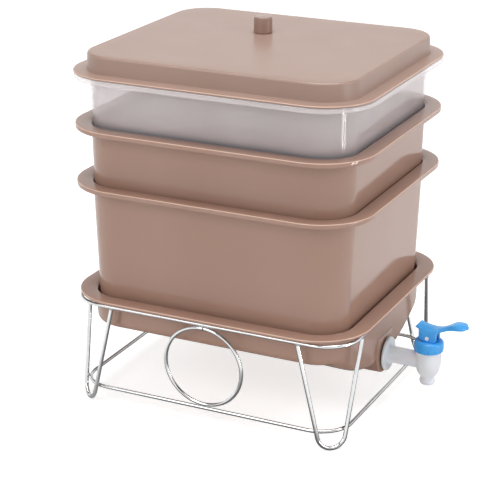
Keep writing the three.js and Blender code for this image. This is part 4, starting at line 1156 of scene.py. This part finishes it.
# The tap
dress(tap_body("tap"), white, "sump", "tap_body")
dress(bonnet("tap_cap"), blue, "sump", "tap_bonnet")
dress(lock_nut("tap_nut"), white, "sump", "tap_lock_nut")
dress(gasket("gasket_outer", "tap_outer_gasket", 17.0), rubber, "sump", "tap_outer_gasket")
dress(gasket("gasket_inner", "tap_inner_gasket", 15.0), rubber, "sump", "tap_inner_gasket")
dress(stem("valve_stem_rod"), white, "valve_stem", "tap_stem")
dress(plug("valve_plug"), silicone, "valve_stem", "tap_plug")
dress(lever("tap_handle"), blue, "valve_lever", "tap_lever")


# The studio, in metres
WHITE = (1, 1, 1, 1)
FLOOR_HALF = 15.0
PAPER_GLOW = 0.62
ROOM_LIGHT = 0.4


def paper():
    """White to the eye. In reflections it is dim close to the object, a painted shadow as under a real one.
    """
    shader = Shader("paper")
    shader.set(Base_Color=(0.86, 0.86, 0.86, 1), Roughness=0.9, Specular_IOR_Level=0.1)
    direct, glossy = shader.rays()
    strength = shader.maths("MULTIPLY", direct, PAPER_GLOW)
    glow = shader.add("ShaderNodeEmission", {"Color": WHITE, "Strength": strength})
    both = shader.add("ShaderNodeAddShader", {0: shader.surface.outputs[0], 1: glow.outputs[0]})
    # Painted shadow: in reflections the floor glows dimly near the object and brightly further off.
    away = shader.add("ShaderNodeVectorMath", {0: shader.place}, operation="LENGTH")
    painted_floor_shadow = shader.spread(away.outputs["Value"], 0.14, 1.15, 0.17, 0.43, interpolation_type="SMOOTHSTEP")
    image = shader.add("ShaderNodeEmission", {"Color": WHITE, "Strength": painted_floor_shadow})
    mixed = shader.surfaces(glossy, both.outputs[0], image.outputs[0])
    shader.link(mixed, shader.tree.nodes["Material Output"].inputs["Surface"])
    return shader.material


def lay_floor():
    corners = [(x * FLOOR_HALF, y * FLOOR_HALF, 0) for x, y in ((-1, -1), (1, -1), (1, 1), (-1, 1))]
    sheet = new_object("floor", corners, [(0, 1, 2, 3)])
    sheet.data.materials.append(paper())


def hang_backdrop():
    """A soft room, white behind the object, with a dark band and a hood that only mirrors show."""
    world = bpy.data.worlds.new("studio")
    world.use_nodes = True
    nodes = Nodes(world.node_tree)
    height = nodes.split(nodes.add("ShaderNodeTexCoord").outputs["Generated"])["Z"]
    fade = nodes.spread(height, 1.0, 0.05, 0.3, 0.6)
    hood = nodes.spread(height, 0.0, 2.5, 0.8, 0.9)
    surfaces = []
    for strength in (ROOM_LIGHT, nodes.maths("MAXIMUM", fade, hood), 1.0):
        light = nodes.add("ShaderNodeBackground", {"Color": WHITE, "Strength": strength})
        surfaces.append(light.outputs[0])
    room, mirror, backdrop = surfaces
    direct, glossy = nodes.rays()
    surface = nodes.surfaces(direct, nodes.surfaces(glossy, room, mirror), backdrop)
    nodes.link(surface, world.node_tree.nodes["World Output"].inputs["Surface"])
    bpy.context.scene.world = world


def softbox(name, location, target, size, power):
    data = bpy.data.lights.new(name, "AREA")
    data.shape = "RECTANGLE"
    data.size, data.size_y = size
    data.energy = power
    obj = put(name, data)
    obj.location = location
    obj.rotation_euler = (Vector(location) - Vector(target)).to_track_quat("Z", "Y").to_euler()
    return obj


def low_strips():
    """Two strips beside the object that draw the bright upright lines in the clear tray's bend."""
    tray_bend = Vector((0.115, -0.125, 0.15))
    distance = 0.75
    for bearing in (radians(86.0), radians(94.5)):
        location = tray_bend + Vector((sin(bearing), -cos(bearing), 0)) * distance
        strip = softbox("strip", location, tray_bend, (0.02, 0.26), 0.6)
        strip.visible_diffuse = False
        strip.visible_camera = False


def set_camera():
    """The camera stands where the photograph was taken from."""
    azimuth, elevation = radians(26.12), radians(20.29)
    back = Vector((sin(azimuth) * cos(elevation), -cos(azimuth) * cos(elevation), sin(elevation)))
    data = bpy.data.cameras.new("camera")
    data.sensor_width = 36.0
    data.lens = 120.15
    data.shift_x = 0.0216
    data.shift_y = -0.0024
    data.clip_end = 50.0
    camera = put("camera", data)
    camera.rotation_euler = back.to_track_quat("Z", "Y").to_euler()
    camera.location = ((800.05 + MIDDLE_X) * MM, -1715.1 * MM, 871.1 * MM)
    bpy.context.scene.camera = camera


lay_floor()
hang_backdrop()
softbox("overhead", (0.1, -0.2, 2.3), (0, 0, 0.2), (1.4, 1.1), 26.0)
softbox("right", (2.2, 0.2, 1.1), (0, 0, 0.25), (1.2, 1.6), 15.0)
softbox("front", (-0.8, -2.3, 1.7), (0, 0, 0.2), (1.4, 1.4), 21.0)
low_strips()
set_camera()
bpy.context.scene.view_settings.view_transform = "Standard"
